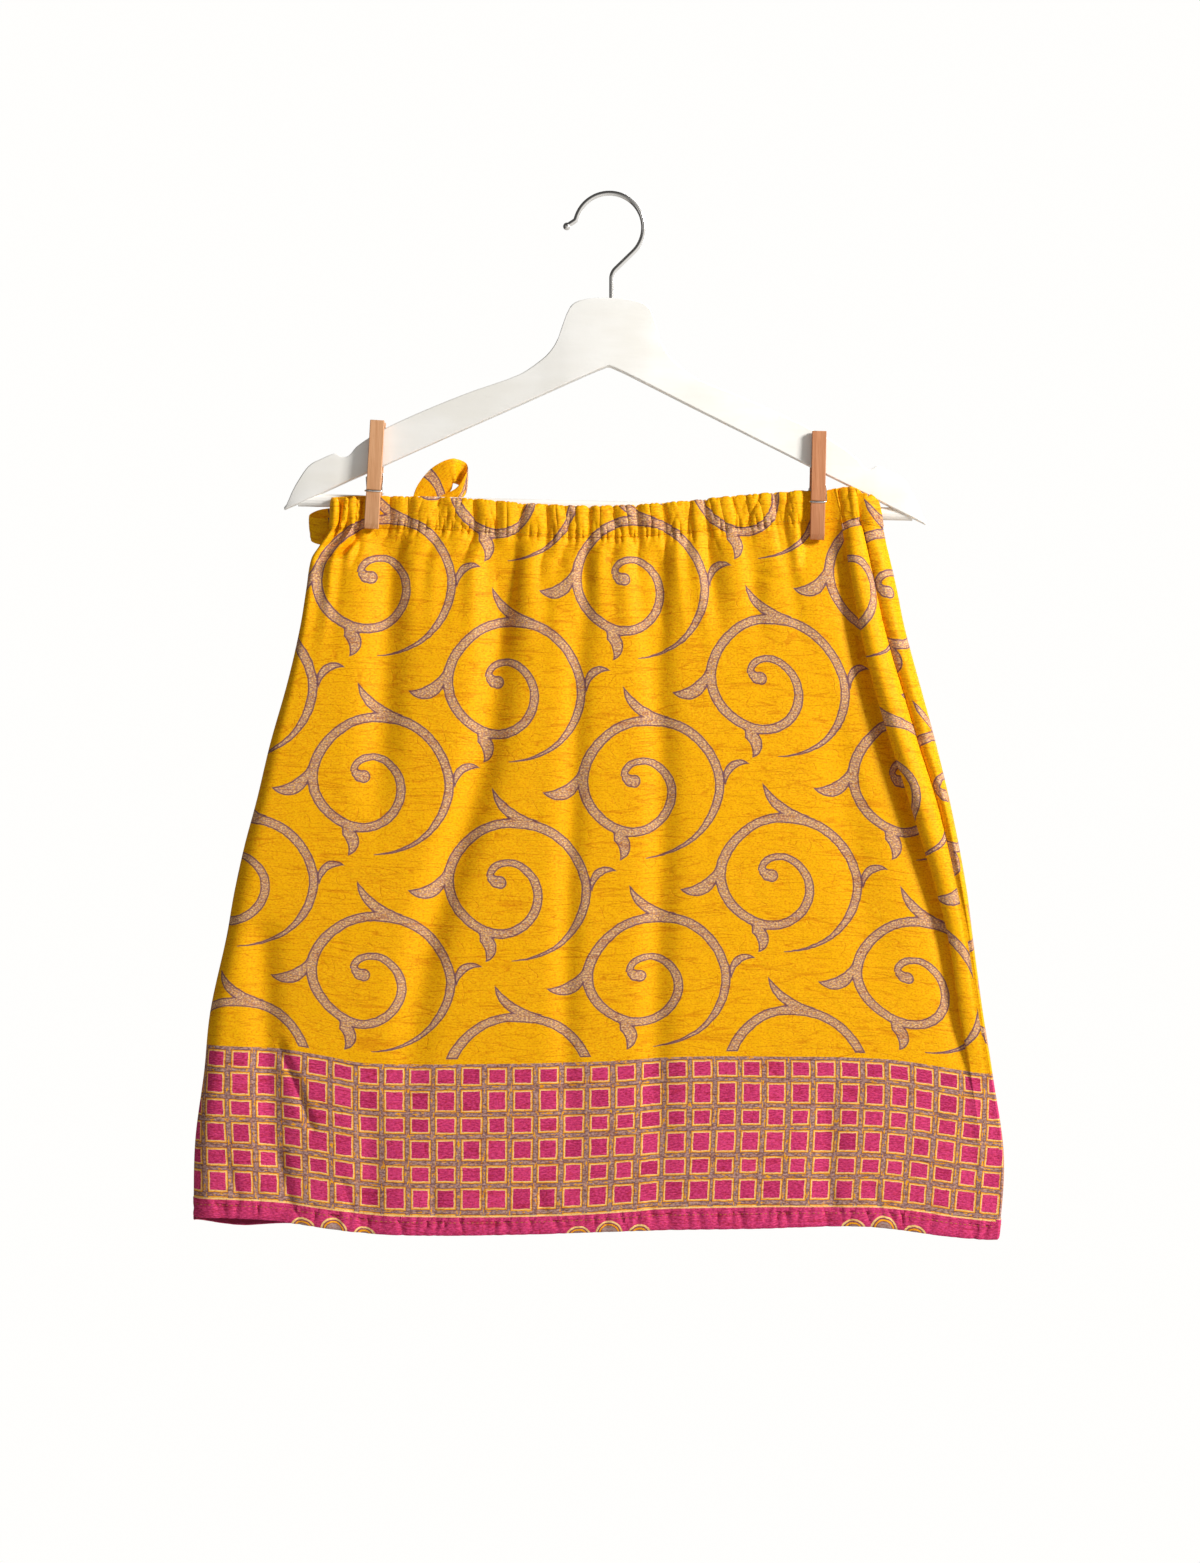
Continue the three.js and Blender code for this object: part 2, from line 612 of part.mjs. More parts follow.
function tiePieces() {
  return [
    knot(),
    strap("tie_loop_side", [
      { at: [-140.8, 8.2, -222], across: [0, 0, 16] },
      { at: [-160, 7.4, -221.5], across: [0, 0, 20] },
      { at: [-184, 7.3, -221.5], across: [0, -0.5, 20] },
      { at: [-195, 7.6, -223], across: [-0.5, -1.5, 19.5] },
      { at: [-199, 10.5, -223], across: [-1, -2, 19.5] },
      { at: [-192, 13.6, -221.5], across: [0, -1, 20.5] },
      { at: [-164, 11.6, -222], across: [0, 0, 20] },
      { at: [-140.8, 11.2, -223], across: [0, 0, 16] },
    ]),
    strap("tie_loop_top", [
      { at: [-130, 14.3, -213], across: [14, 0, -7] },
      { at: [-122, 13.95, -201], across: [14, 0, -10] },
      { at: [-113, 14.6, -190], across: [14, 0, -10.5] },
      { at: [-104.5, 15.8, -184], across: [10, 1, -14] },
      { at: [-98, 19.5, -184], across: [4, 3, -16] },
      { at: [-97, 24, -191], across: [6, 4, -15] },
      { at: [-104, 23.4, -203], across: [12, 3, -12] },
      { at: [-116, 19.5, -213], across: [14, 1, -8] },
      { at: [-128.5, 15.4, -221], across: [14, 0, -7] },
    ]),
    tail("tie_tail_long", -138, 152),
    tail("tie_tail_short", -116, 118),
  ];
}

// A plain strap end that hangs behind the outer back panel.
function tail(name, x, length) {
  const points = spread(0, 1, 6).map((t) => {
    const drop = TAIL_DROP + length * t;
    const middle = x + TAIL_SWAY * Math.sin(2.4 * t);
    return [-0.5, 0, 0.5].map((share) => {
      const side = middle + TAIL_WIDTH * share;
      const panel = Math.max(backY(side, drop), backY(middle, drop)) + CLOTH / 2;
      return new THREE.Vector3(side, panel + TAIL_CLEAR + STRAP_WALL / 2, -drop);
    });
  });
  return sheet(name, points, STRAP_WALL, YELLOW);
}

// ---- Hanger -------------------------------------------------------------------------

function sweepAt(x) {
  return HANGER_SWEEP * (Math.abs(x) / SWEEP_REACH) ** SWEEP_POWER;
}

function armRing(side, row) {
  const x = HANGER_AXIS + side * row.x;
  const y = sweepAt(row.x);
  const half = row.depth / 2;
  const bevel = Math.min(ARM_BEVEL, 0.28 * (row.bottom - row.top), 0.4 * half);
  const corner = (dy, drop) => new THREE.Vector3(x, y + dy, -drop);
  return [
    corner(-half, row.top + bevel), corner(-half, row.bottom - bevel),
    corner(-half + bevel, row.bottom), corner(half - bevel, row.bottom),
    corner(half, row.bottom - bevel), corner(half, row.top + bevel),
    corner(half - bevel, row.top), corner(-half + bevel, row.top),
  ];
}

function barShape(radiusY, radiusZ, halfLength) {
  const ring = (x) => spread(0, 1, 14).slice(0, -1).map((turn) => {
    const angle = turn * 2 * Math.PI;
    return new THREE.Vector3(
      HANGER_AXIS + x,
      BAR_Y + radiusY * Math.cos(angle),
      -BAR_DROP + radiusZ * Math.sin(angle),
    );
  });
  return loft("hanger_bar", [ring(-halfLength), ring(halfLength)], WHITE);
}

function hookPath() {
  const points = [new THREE.Vector3(-26, 0, -21.8), new THREE.Vector3(-22.4, 0, -18.2)];
  for (const degrees of spread(165, -38, 12)) {
    const angle = THREE.MathUtils.degToRad(degrees);
    const x = HOOK_CENTRE_X + HOOK_RADIUS * Math.cos(angle);
    points.push(new THREE.Vector3(x, 0, WIRE_RADIUS - HOOK_RADIUS + HOOK_RADIUS * Math.sin(angle)));
  }
  points.push(new THREE.Vector3(12.6, 0, -43.6));
  points.push(new THREE.Vector3(6.6, 0, -49));
  points.push(new THREE.Vector3(4.1, 0, -55));
  points.push(new THREE.Vector3(3.9, 0, -64));
  points.push(new THREE.Vector3(STEM_END.x, 0, -STEM_END.drop));
  return new THREE.CatmullRomCurve3(points);
}

function roundBar(radius, path, steps, sides) {
  const section = new THREE.Shape(spread(0, 1, sides).slice(0, -1).map((turn) => {
    const angle = turn * 2 * Math.PI;
    return new THREE.Vector2(radius * Math.cos(angle), radius * Math.sin(angle));
  }));
  return new THREE.Mesh(new THREE.ExtrudeGeometry(section, { steps, extrudePath: path }), STEEL);
}

function hangerPieces() {
  const rows = HANGER_HALF.slice(1);
  const rings = [
    ...rows.slice().reverse().map((row) => armRing(-1, row)),
    armRing(1, HANGER_HALF[0]),
    ...rows.map((row) => armRing(1, row)),
  ];
  const body = loft("hanger_body", rings, WHITE);
  const socket = barShape(BAR_HALF_DEPTH + GAP, BAR_HALF_HEIGHT + GAP, BAR_HALF_LENGTH + GAP);
  const bar = barShape(BAR_HALF_DEPTH, BAR_HALF_HEIGHT, BAR_HALF_LENGTH);
  const lean = new THREE.Group();
  lean.rotation.y = THREE.MathUtils.degToRad(HANGER_LEAN);
  lean.add(body, socket, bar);
  const stem = new THREE.LineCurve3(
    new THREE.Vector3(SOCKET_STEM.x, 0, -SOCKET_STEM.drop),
    new THREE.Vector3(STEM_END.x, 0, -STEM_END.drop - GAP),
  );
  const hole = roundBar(WIRE_RADIUS + GAP, stem, 1, 12);
  const ball = new THREE.Mesh(new THREE.SphereGeometry(BALL_RADIUS, 12, 8), STEEL);
  ball.position.set(-26.6, 0, -22.4);
  const hook = joined("hanger_hook", [roundBar(WIRE_RADIUS, hookPath(), 40, 8), ball], STEEL);
  lean.updateMatrixWorld(true);
  const cutBody = cutBy(body, [socket, hole]);
  const worldBar = fromManifold("hanger_bar", toManifold(bar), WHITE);
  return [cutBody, worldBar, hook];
}

// ---- Clothes pegs -------------------------------------------------------------------

// Both legs are the same piece, one turned to face the other across the peg's middle plane.
function pegLeg(name, side) {
  const outline = [...PEG_INNER, ...PEG_OUTER].map((row) => new THREE.Vector2(side * row.out, row.up));
  const width = { depth: PEG_WIDTH, bevelEnabled: false };
  const geometry = new THREE.ExtrudeGeometry(new THREE.Shape(outline), width);
  geometry.translate(0, 0, -PEG_WIDTH / 2);
  geometry.applyMatrix4(new THREE.Matrix4().makeBasis(
    new THREE.Vector3(0, 1, 0),
    new THREE.Vector3(0, 0, 1),
    new THREE.Vector3(1, 0, 0),
  ));
  const mesh = new THREE.Mesh(geometry, WOOD);
  mesh.name = name;
  return mesh;
}

function coil(radius, halfWidth) {
  const geometry = new THREE.CylinderGeometry(radius, radius, 2 * halfWidth, 16);
  geometry.rotateZ(Math.PI / 2);
  const mesh = new THREE.Mesh(geometry, STEEL);
  mesh.position.z = COIL_HEIGHT;
  return mesh;
}

// The wire runs from the coil's end, past the leg's edge and across its outer face.
function springArm(side) {
  const clear = SPRING_WIRE + GAP;
  const edge = PEG_WIDTH / 2 + clear;
  const [top, foot] = PEG_OUTER;
  const share = (CROSSING_HEIGHT - foot.up) / (top.up - foot.up);
  const face = THREE.MathUtils.lerp(foot.out, top.out, share);
  const points = [
    [edge, 0, COIL_HEIGHT], [edge, face - 1.5, CROSSING_HEIGHT + 1], [edge, face, CROSSING_HEIGHT],
    [edge - 0.35, face + clear - 0.35, CROSSING_HEIGHT], [edge - clear, face + clear, CROSSING_HEIGHT],
    [-edge, face + clear, CROSSING_HEIGHT],
  ].map(([x, y, up]) => new THREE.Vector3(side * x, side * y, up));
  return roundBar(SPRING_WIRE, new THREE.CatmullRomCurve3(points, false, "chordal"), 12, 6);
}

function pegPieces() {
  return PEGS.flatMap((peg) => {
    const holder = new THREE.Group();
    holder.position.set(peg.x, PEG_Y, -peg.drop);
    holder.rotation.y = THREE.MathUtils.degToRad(peg.lean);
    const front = pegLeg(`${peg.name}_front`, -1);
    const back = pegLeg(`${peg.name}_back`, 1);
    const seat = coil(COIL_RADIUS + GAP, PEG_WIDTH);
    const spring = [
      coil(COIL_RADIUS, PEG_WIDTH / 2 + SPRING_WIRE + GAP),
      springArm(1),
      springArm(-1),
    ];
    holder.add(front, back, seat, ...spring);
    holder.updateMatrixWorld(true);
    return [
      cutBy(front, [seat]),
      cutBy(back, [seat]),
      joined(`${peg.name}_spring`, spring, STEEL),
    ];
  });
}

// ---- The part -----------------------------------------------------------------------

const part = new THREE.Group();
part.add(...clothPieces(), ...tiePieces(), ...hangerPieces(), ...pegPieces());

export default part;
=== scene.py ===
# %% [markdown]
# # A wrap skirt on a wooden hanger
# The skirt hangs flat from two clothes pegs: two layers of cloth with a gathered waist, soft
# vertical folds and one rolled fold beside the right seam. The packed solids are the fixed
# frame, and they give every piece its place. Each cloth solid is replaced by a finer sheet of
# the same form. The hanger, its hook and the pegs are modelled again with their real edges.

# %% Load the frame
import math

import bmesh
import bpy
import numpy as np
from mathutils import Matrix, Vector


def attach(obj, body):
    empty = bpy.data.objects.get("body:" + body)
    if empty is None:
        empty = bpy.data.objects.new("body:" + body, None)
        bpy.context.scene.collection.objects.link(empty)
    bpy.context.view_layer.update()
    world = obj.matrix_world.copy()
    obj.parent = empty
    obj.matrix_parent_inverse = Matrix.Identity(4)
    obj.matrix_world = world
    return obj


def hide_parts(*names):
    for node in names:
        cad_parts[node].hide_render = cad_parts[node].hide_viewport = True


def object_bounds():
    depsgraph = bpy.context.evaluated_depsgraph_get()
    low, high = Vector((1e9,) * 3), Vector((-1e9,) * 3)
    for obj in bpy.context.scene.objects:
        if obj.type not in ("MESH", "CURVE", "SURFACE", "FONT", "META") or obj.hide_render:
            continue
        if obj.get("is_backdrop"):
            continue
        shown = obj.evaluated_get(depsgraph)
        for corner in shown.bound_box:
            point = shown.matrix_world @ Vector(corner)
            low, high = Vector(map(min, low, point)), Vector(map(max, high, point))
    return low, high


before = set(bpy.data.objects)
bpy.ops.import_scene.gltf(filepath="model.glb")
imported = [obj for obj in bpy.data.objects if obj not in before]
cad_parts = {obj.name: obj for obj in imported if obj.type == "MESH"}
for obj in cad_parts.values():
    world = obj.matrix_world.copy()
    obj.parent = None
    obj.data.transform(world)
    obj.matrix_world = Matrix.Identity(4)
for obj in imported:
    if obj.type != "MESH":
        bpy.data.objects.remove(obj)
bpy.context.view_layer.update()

MM = 0.001

# %% [markdown]
# ## Camera
# The view is level and square to the skirt. A long lens from 2.5 m keeps the hanger and the
# hem free of perspective, so the skirt looks as flat as it hangs. The aim is the middle of the
# whole thing, hook and hem together.

# %% Camera
VIEW_HEIGHT = 1.05
VIEW_DISTANCE = 2.5
SENSOR = 36
AIM_X, AIM_Z = -4, -393.5
lens_data = bpy.data.cameras.new("camera")
lens_data.sensor_width = SENSOR
lens_data.lens = SENSOR * VIEW_DISTANCE / VIEW_HEIGHT
camera = bpy.data.objects.new("camera", lens_data)
camera.location = (AIM_X * MM, -VIEW_DISTANCE, AIM_Z * MM)
camera.rotation_euler = (math.radians(90), 0, 0)
bpy.context.collection.objects.link(camera)
bpy.context.scene.camera = camera
print("lens", round(lens_data.lens, 1), "mm")

# %% [markdown]
# ## Sums in a shader
# The light round the skirt and the print on its cloth are both worked out by shader nodes. Each
# math node does one step, and a long formula would take a page of links. This small class lets
# a formula be written as an ordinary sum: every plus or minus adds one node and gives back its
# result.

# %% Signals
def add_node(tree, kind, inputs, **settings):
    made = tree.nodes.new("ShaderNode" + kind)
    for name, value in settings.items():
        setattr(made, name, value)
    for key, value in inputs.items():
        value = getattr(value, "socket", value)
        if isinstance(value, bpy.types.NodeSocket):
            tree.links.new(value, made.inputs[key])
        else:
            made.inputs[key].default_value = value
    return made


class Signal:
    """A number that the shader works out at each point."""

    def __init__(self, socket):
        self.socket = socket
        self.tree = socket.id_data

    def math(self, operation, other=0.0, third=0.0, swap=False):
        first, second = (other, self) if swap else (self, other)
        inputs = {0: first, 1: second, 2: third}
        return Signal(add_node(self.tree, "Math", inputs, operation=operation).outputs[0])

    def __add__(self, other):
        return self.math("ADD", other)

    def __sub__(self, other):
        return self.math("SUBTRACT", other)

    def __rsub__(self, other):
        return self.math("SUBTRACT", other, swap=True)

    def __mul__(self, other):
        return self.math("MULTIPLY", other)

    def __truediv__(self, other):
        return self.math("DIVIDE", other)

    def __abs__(self):
        return self.math("ABSOLUTE")

    def ramp(self, low, high, to_low, to_high, shape="LINEAR"):
        """Goes from one value to another between two limits, and stays level beyond them."""
        ends = {"From Min": low, "From Max": high, "To Min": to_low, "To Max": to_high}
        made = add_node(self.tree, "MapRange", {"Value": self} | ends, interpolation_type=shape)
        return Signal(made.outputs["Result"])

    def step(self, low, high):
        """Rises softly from 0 to 1 between two values, or falls if the first is larger."""
        ends = (float(low > high), float(low < high))
        return self.ramp(min(low, high), max(low, high), *ends, "SMOOTHSTEP")

    def drawn(self, top, points):
        """Reads this value, from 0 to 1, off a drawn curve."""
        made = add_node(self.tree, "FloatCurve", {"Value": self})
        line = made.mapping.curves[0]
        line.points[0].location = (points[0][0], points[0][1] / top)
        line.points[1].location = (points[-1][0], points[-1][1] / top)
        for place, value in points[1:-1]:
            line.points.new(place, value / top)
        made.mapping.update()
        return Signal(made.outputs["Value"]) * top


print("a signal knows", [name for name in vars(Signal) if name.isalpha()])

# %% [markdown]
# ## Light
# One large soft light high on the right rakes across the cloth, so each fold gets a lit side
# and a shaded side. A weak one fills from the front left, and one behind lights the back. A
# disk of light has soft edges, as a shaded lamp in a studio has.

# %% Lights
def soft_light(name, place, size, watts):
    data = bpy.data.lights.new(name, "AREA")
    data.shape = "DISK"
    data.size = size
    data.energy = watts
    light = bpy.data.objects.new(name, data)
    light.location = place
    light.rotation_euler = (SKIRT_MIDDLE - Vector(place)).to_track_quat("-Z", "Y").to_euler()
    bpy.context.collection.objects.link(light)


SKIRT_MIDDLE = Vector((0, 0, -0.42))
soft_light("key", (2.35, -1.4, 0.9), 0.8, 118)
soft_light("fill", (-1.6, -2.6, -0.1), 1.6, 6)
soft_light("rear", (0.9, 2.2, 0.6), 1.6, 34)

# %% [markdown]
# ## World
# The world is brighter on the right than on the left: that fills the shadows gently. Mirror
# rays see a stronger step, from dark at the upper left to bright at the lower right, so the
# steel wire gets one dark side. What the camera sees behind the skirt stays a plain near-white.

# %% World
BACKDROP = (1, 0.995, 0.98, 1)
world = bpy.data.worlds.new("studio")
world.use_nodes = True
bpy.context.scene.world = world
bpy.context.scene.view_settings.view_transform = "Standard"
sky = world.node_tree
direction = add_node(sky, "TexCoord", {}).outputs["Generated"]
split = add_node(sky, "SeparateXYZ", {"Vector": direction})
right, high = (Signal(split.outputs[axis]) for axis in "XZ")
rays = add_node(sky, "LightPath", {}).outputs


def level_for(ray, level, others):
    """The sky's level for one kind of ray, and for all the others."""
    return add_node(sky, "Mix", {"Factor": ray, "A": others, "B": level}).outputs["Result"]


around = right.ramp(-0.9, 0.7, 0.12, 0.38)
mirrored = (right - high * 0.7).ramp(-0.25, 0.6, 0.1, 1.15)
level = level_for(rays["Is Glossy Ray"], mirrored, around)
level = level_for(rays["Is Camera Ray"], 1.0, level)
sky.links.new(level, sky.nodes["Background"].inputs["Strength"])
sky.nodes["Background"].inputs["Color"].default_value = BACKDROP
print("nodes in the sky", len(sky.nodes))

# %% [markdown]
# ## Reading tables
# The skirt's form is kept in short tables, a row for each height or fold. One reader gives a
# smooth value of any column between its rows, so a table of fifteen rows makes a curve. All
# of this works in millimetres, and "drop" is the distance below the hook's seat. Only the
# finished meshes are turned into metres.

# %% Tables and smooth steps
def table(names, rows):
    return dict(zip(names.split(), np.array(rows, float).T))


def read(rows, along, name, at):
    places, values = rows[along], rows[name]
    i = np.searchsorted(places[1:-1], at, side="left")
    span = places[i + 1] - places[i]
    t = np.clip((at - places[i]) / span, 0, 1)

    def slope(k):
        before, after = np.maximum(k - 1, 0), np.minimum(k + 1, len(places) - 1)
        return (values[after] - values[before]) / (places[after] - places[before]) * span

    start = values[i] * (2 * t**3 - 3 * t**2 + 1) + slope(i) * (t**3 - 2 * t**2 + t)
    return start + values[i + 1] * (3 * t**2 - 2 * t**3) + slope(i + 1) * (t**3 - t**2)


def smooth(value, low, high):
    t = np.clip((value - low) / (high - low), 0, 1)
    return t * t * (3 - 2 * t)


def bell(distance, width):
    return np.exp(-((distance / width) ** 2))


def mix(a, b, share):
    return a + (b - a) * share


def rows_of(rows):
    names = list(rows)
    for values in zip(*(rows[name] for name in names)):
        yield dict(zip(names, (float(v) for v in values)))


def total(rows, shape_of_row, *place):
    """Adds up one shape for every row of a table. The columns are named as its arguments."""
    return sum(shape_of_row(*place, **row) for row in rows_of(rows))


print("half way up a step:", float(smooth(0.5, 0, 1)))

# %% [markdown]
# ## The skirt's plan
# At each height the skirt is a flat tube. Its left edge turns round softly, and on the right a
# fold rolls up, overhangs to the left and comes down to the side seam. The back panel starts
# at that seam, comes round the right edge and runs across the back. The sections follow those
# of the solids, so the fine sheets lie where the solids are.

# %% The plan at each height
SECTIONS = table("drop left right ridge seam rise front", [
    (204, -184, 182, 153, 168, 1.6, -0.4),
    (225, -185.5, 186, 157, 171, 3.0, -0.8),
    (236, -192, 188, 159, 173, 5.0, -2.0),
    (245, -197.5, 190, 161, 175, 7.0, -3.2),
    (266, -201, 195, 165, 180, 10, -5.2),
    (290, -205, 200, 170, 186, 12, -7.2),
    (327, -213.5, 210, 179, 197, 14, -9.6),
    (368, -225, 221, 191, 209, 15, -11.8),
    (406, -234, 230, 203, 221, 15, -13.4),
    (436, -242, 236, 212, 228, 13, -14.6),
    (468, -249, 241.5, 221, 234.5, 10, -15.6),
    (497, -254, 245, 228, 240.5, 8, -16.5),
    (548, -265, 251.8, 235, 248, 6, -18),
    (589, -269, 258.6, 242, 255, 4.5, -19),
    (640, -275, 266, 248, 262.4, 3.5, -20),
    (702, -276, 261, 246, 257.6, 3, -20.5),
])
WAIST_DROP = 204
CASING_HEIGHT = 21
STITCH_DROP = WAIST_DROP + CASING_HEIGHT
HEM_DROP = 690
BACK_Y = 4.9
BACK_SETTLE = 1.0
LAYER_STEP = 2.7
OVERLAP_RIGHT = 30
OVERLAP_LEFT = 128
STRIP_BACK = 12
SEAM_GAP = 0.03
ROLL_CLOSES = (545, 610)
LIFT_HIGH_UP, LIFT_LOW_DOWN = 0.7, 0.98
GROOVE = 1.9
SINK = 1.2
TURN_AT_WAIST, TURN_AT_HEM = 3.2, 13.2


def section(drop):
    """All that the plan needs at a height. The seam lies in a groove beside the roll."""
    plan = {name: read(SECTIONS, "drop", name, drop) for name in SECTIONS}
    closed = smooth(drop, *ROLL_CLOSES)
    plan["back"] = BACK_Y + BACK_SETTLE * smooth(drop, 230, 420)
    plan["middle"] = (plan["front"] + plan["back"]) / 2
    plan["rise"] = plan["rise"] * (1 - 0.95 * closed)
    plan["sink"] = SINK * closed * (1 - 0.6 * smooth(drop, 640, 690))
    plan["valley"] = plan["front"] + 0.5 * plan["rise"]
    plan["lift"] = mix(LIFT_HIGH_UP, LIFT_LOW_DOWN, smooth(drop, 400, 470))
    plan["groove"] = GROOVE * smooth(drop, 204, 232) * (1 - smooth(drop, 410, 480))
    plan["seam_y"] = plan["valley"] - plan["lift"] * plan["rise"] + plan["sink"]
    plan["turn"] = mix(TURN_AT_WAIST, TURN_AT_HEM, smooth(drop, 225, 500))
    plan["flare"] = plan["left"] / SECTIONS["left"][0]
    return plan


for drop in (WAIST_DROP, 400, HEM_DROP):
    plan = section(drop)
    print("drop", drop, "width", round(float(plan["right"] - plan["left"])), "mm")

# %% [markdown]
# ## Edge lines
# Neither edge is level. The waist sags between the pegs, because the casing is soft, and the
# hem swings up at the left. The printed border and the hem band follow lines of their own.
# Each is a short table of heights across the skirt.

# %% Edge lines
WAIST_EDGE = table("x drop", [
    (-190, 204), (-172, 202), (-130, 202.5), (-88, 204), (-54, 207), (-4, 208.5), (46, 206),
    (80, 202.5), (122, 199), (135, 198.4), (148, 198), (158, 196.4), (164, 195.6),
    (174, 199.5), (190, 203),
])
HEM_EDGE = table("x front back", [
    (-280, 684, 686), (-263, 684.2, 690), (-245, 684.6, 692), (-224, 685.8, 691), (-206, 688.2, 691),
    (-172, 693.2, 694), (-148, 695.3, 695.5), (-110, 696, 696), (-52, 695.2, 695), (-4, 693.6, 693.5),
    (45, 692.2, 692), (100, 691.4, 691), (145, 690, 690), (174, 690, 690.5), (199, 692.6, 693),
    (223, 696, 696), (250, 698.6, 698.6), (262, 698.6, 698.6), (270, 698.6, 698.6),
])
HEM_TOP = table("x drop", [
    (-276, 671.5), (-246, 672.5), (-216, 674.5), (-180, 679.5), (-149, 683), (-88, 684),
    (-31, 683), (17, 680.2), (38, 678.5), (103, 677.2), (150, 677.3), (181, 677.5),
    (211, 680.5), (229, 683.5), (264, 687.5),
])
BORDER_TOP = table("x drop", [
    (-264, 569.5), (-217, 571.8), (-190, 576), (-160, 581.4), (-88, 582), (-4, 580.3),
    (54, 577), (118, 577), (160, 577.5), (195, 579.6), (246, 587.5), (262, 589),
])


def settle(x, drop, side):
    """The real height of a point, from its height on the plain form."""
    flare = section(drop)["flare"]
    at_waist = read(WAIST_EDGE, "x", "drop", x / flare) - WAIST_DROP
    at_hem = read(HEM_EDGE, "x", side, x) - HEM_DROP
    return drop + at_waist * (1 - smooth(drop, 226, 320)) + at_hem * smooth(drop, 560, 676)


middle_hem = float(settle(np.array(0.0), np.array(float(HEM_DROP)), "front"))
print("hem at the middle", round(middle_hem, 1), "mm below the hook's seat")

# %% [markdown]
# ## Soft folds
# A fold in hanging cloth is a trough with a rounded bottom. It starts under the gathers or at
# the hem, wanders a little sideways and fades out. Each row below places one: x0 to x3 say
# where its bottom runs at four even steps of its length. No two have the same length, depth
# or spacing. The back has folds of its own, of the same kind.

# %% Folds placed one by one
FOLD_NAMES = "from_drop to_drop x0 x1 x2 x3 width depth"
FOLD_START = 24
FRONT_FOLDS = table(FOLD_NAMES, [
    (222, 450, -144, -147, -151, -156, 12, 5.6),
    (222, 660, -68, -80, -121, -138, 12, 6.6),
    (224, 330, -66, -67, -70, -74, 6, 2.6),
    (222, 720, -14, -22, -27, -18, 8, 3.0),
    (222, 760, 28, 37, 33, 44, 10, 3.8),
    (222, 320, 33, 36, 38, 39, 5, 2.6),
    (222, 300, 70, 72, 75, 79, 8, 2.6),
    (222, 300, 104, 103, 100, 98, 7, 1.8),
    (222, 310, -104, -106, -109, -112, 8, 2.2),
    (222, 300, -34, -35, -38, -40, 6, 2.2),
    (480, 720, -230, -227, -222, -218, 10, 4.2),
    (600, 760, -158, -158, -160, -161, 10, 2.0),
    (590, 760, 146, 147, 148, 150, 9, 1.6),
    (330, 560, 152, 160, 172, 190, 14, 1.8),
])
BACK_FOLDS = table(FOLD_NAMES, [
    (224, 560, -96, -112, -124, -122, 14, -3.4),
    (224, 700, -20, -14, -22, -34, 13, -4.0),
    (224, 640, 52, 58, 76, 96, 15, -3.6),
    (224, 700, 118, 140, 158, 168, 12, -3.0),
    (500, 760, -206, -208, -211, -214, 13, -3.0),
])


def one_fold(x, drop, from_drop, to_drop, x0, x1, x2, x3, width, depth):
    inside = np.clip((drop - from_drop) / (to_drop - from_drop), 0, 1)
    route = {"step": np.arange(4.0), "x": np.array([x0, x1, x2, x3])}
    line = read(route, "step", "x", 3 * inside)
    strength = smooth(drop, from_drop, from_drop + FOLD_START) * (1 - smooth(inside, 0.5, 1))
    return depth * strength * bell(x - line, width)


print(len(FRONT_FOLDS["x0"]), "folds in front and", len(BACK_FOLDS["x0"]), "behind")

# %% [markdown]
# ## Gathers at the waist
# A drawn-up casing puffs between its gathers and pinches in at each one. The creases run up
# over the top edge and some way down into the skirt, where they open out and fade. Along the
# stitching the cloth is pinched again. All of these are placed one by one, because each one
# shows. Three tight puffs stand out beside the left peg, which squeezes the casing's end.

# %% Gathers and creases
GATHERS = (-176, -164, -133, -112, -89, -74, -59, -40, -26, -12, 4, 20, 39, 52, 65, 90, 114)
CREASES = table("top_x foot_x depth width reach", [
    (-179.5, -178.5, 4.2, 1.7, 22), (-172.5, -174, 4.4, 1.5, 16), (-167, -168.5, 3.2, 1.4, 26),
    (-163, -164.5, 2.6, 1.6, 30), (-145, -144, 0.8, 2.0, 20), (-133, -133, 0.9, 2.6, 18),
    (-113, -112, 0.6, 2.4, 30), (-101, -102, 0.5, 1.8, 12), (-89.5, -88.5, 2.0, 1.8, 34),
    (-74, -75, 0.8, 2.2, 40), (-54.5, -61.5, 2.3, 2.1, 46), (-40, -40.5, 2.4, 1.7, 52),
    (-28, -27, 1.0, 2.2, 24), (-20.5, -21, 1.2, 1.9, 28), (-11, -13.5, 2.4, 1.8, 46),
    (-4, -6, 0.9, 2.0, 18), (5, 4, 0.8, 2.4, 24), (13, 14, 0.9, 1.8, 16),
    (20.3, 20.3, 2.3, 1.7, 36), (29, 29, 0.8, 1.8, 14), (38, 37.5, 2.3, 1.9, 46),
    (57, 52, 1.4, 2.6, 34), (66, 65.5, 2.3, 1.9, 38), (76, 77, 0.6, 2.0, 14),
    (85, 84.7, 1.0, 2.2, 26), (94, 94, 0.9, 2.0, 30), (102, 103, 0.6, 1.8, 12),
    (113, 111, 1.7, 2.2, 34), (122, 116, 2.0, 2.3, 34), (133, 133, 1.0, 2.0, 18),
    (152, 152, 1.5, 1.8, 20), (157.5, 157, 1.3, 1.5, 14), (165.5, 165, 2.6, 1.9, 8),
])
END_PUFFS = table("top_x foot_x height width", [
    (-180.6, -183, 4.4, 2.3), (-173.2, -177, 6.4, 2.3), (-166.6, -168.5, 6.2, 2.2),
])
PUFF = 1.9
PUFF_AT_END = 2.2
PINCH_WIDTH = 5
CREASE_STRENGTH = 1.3


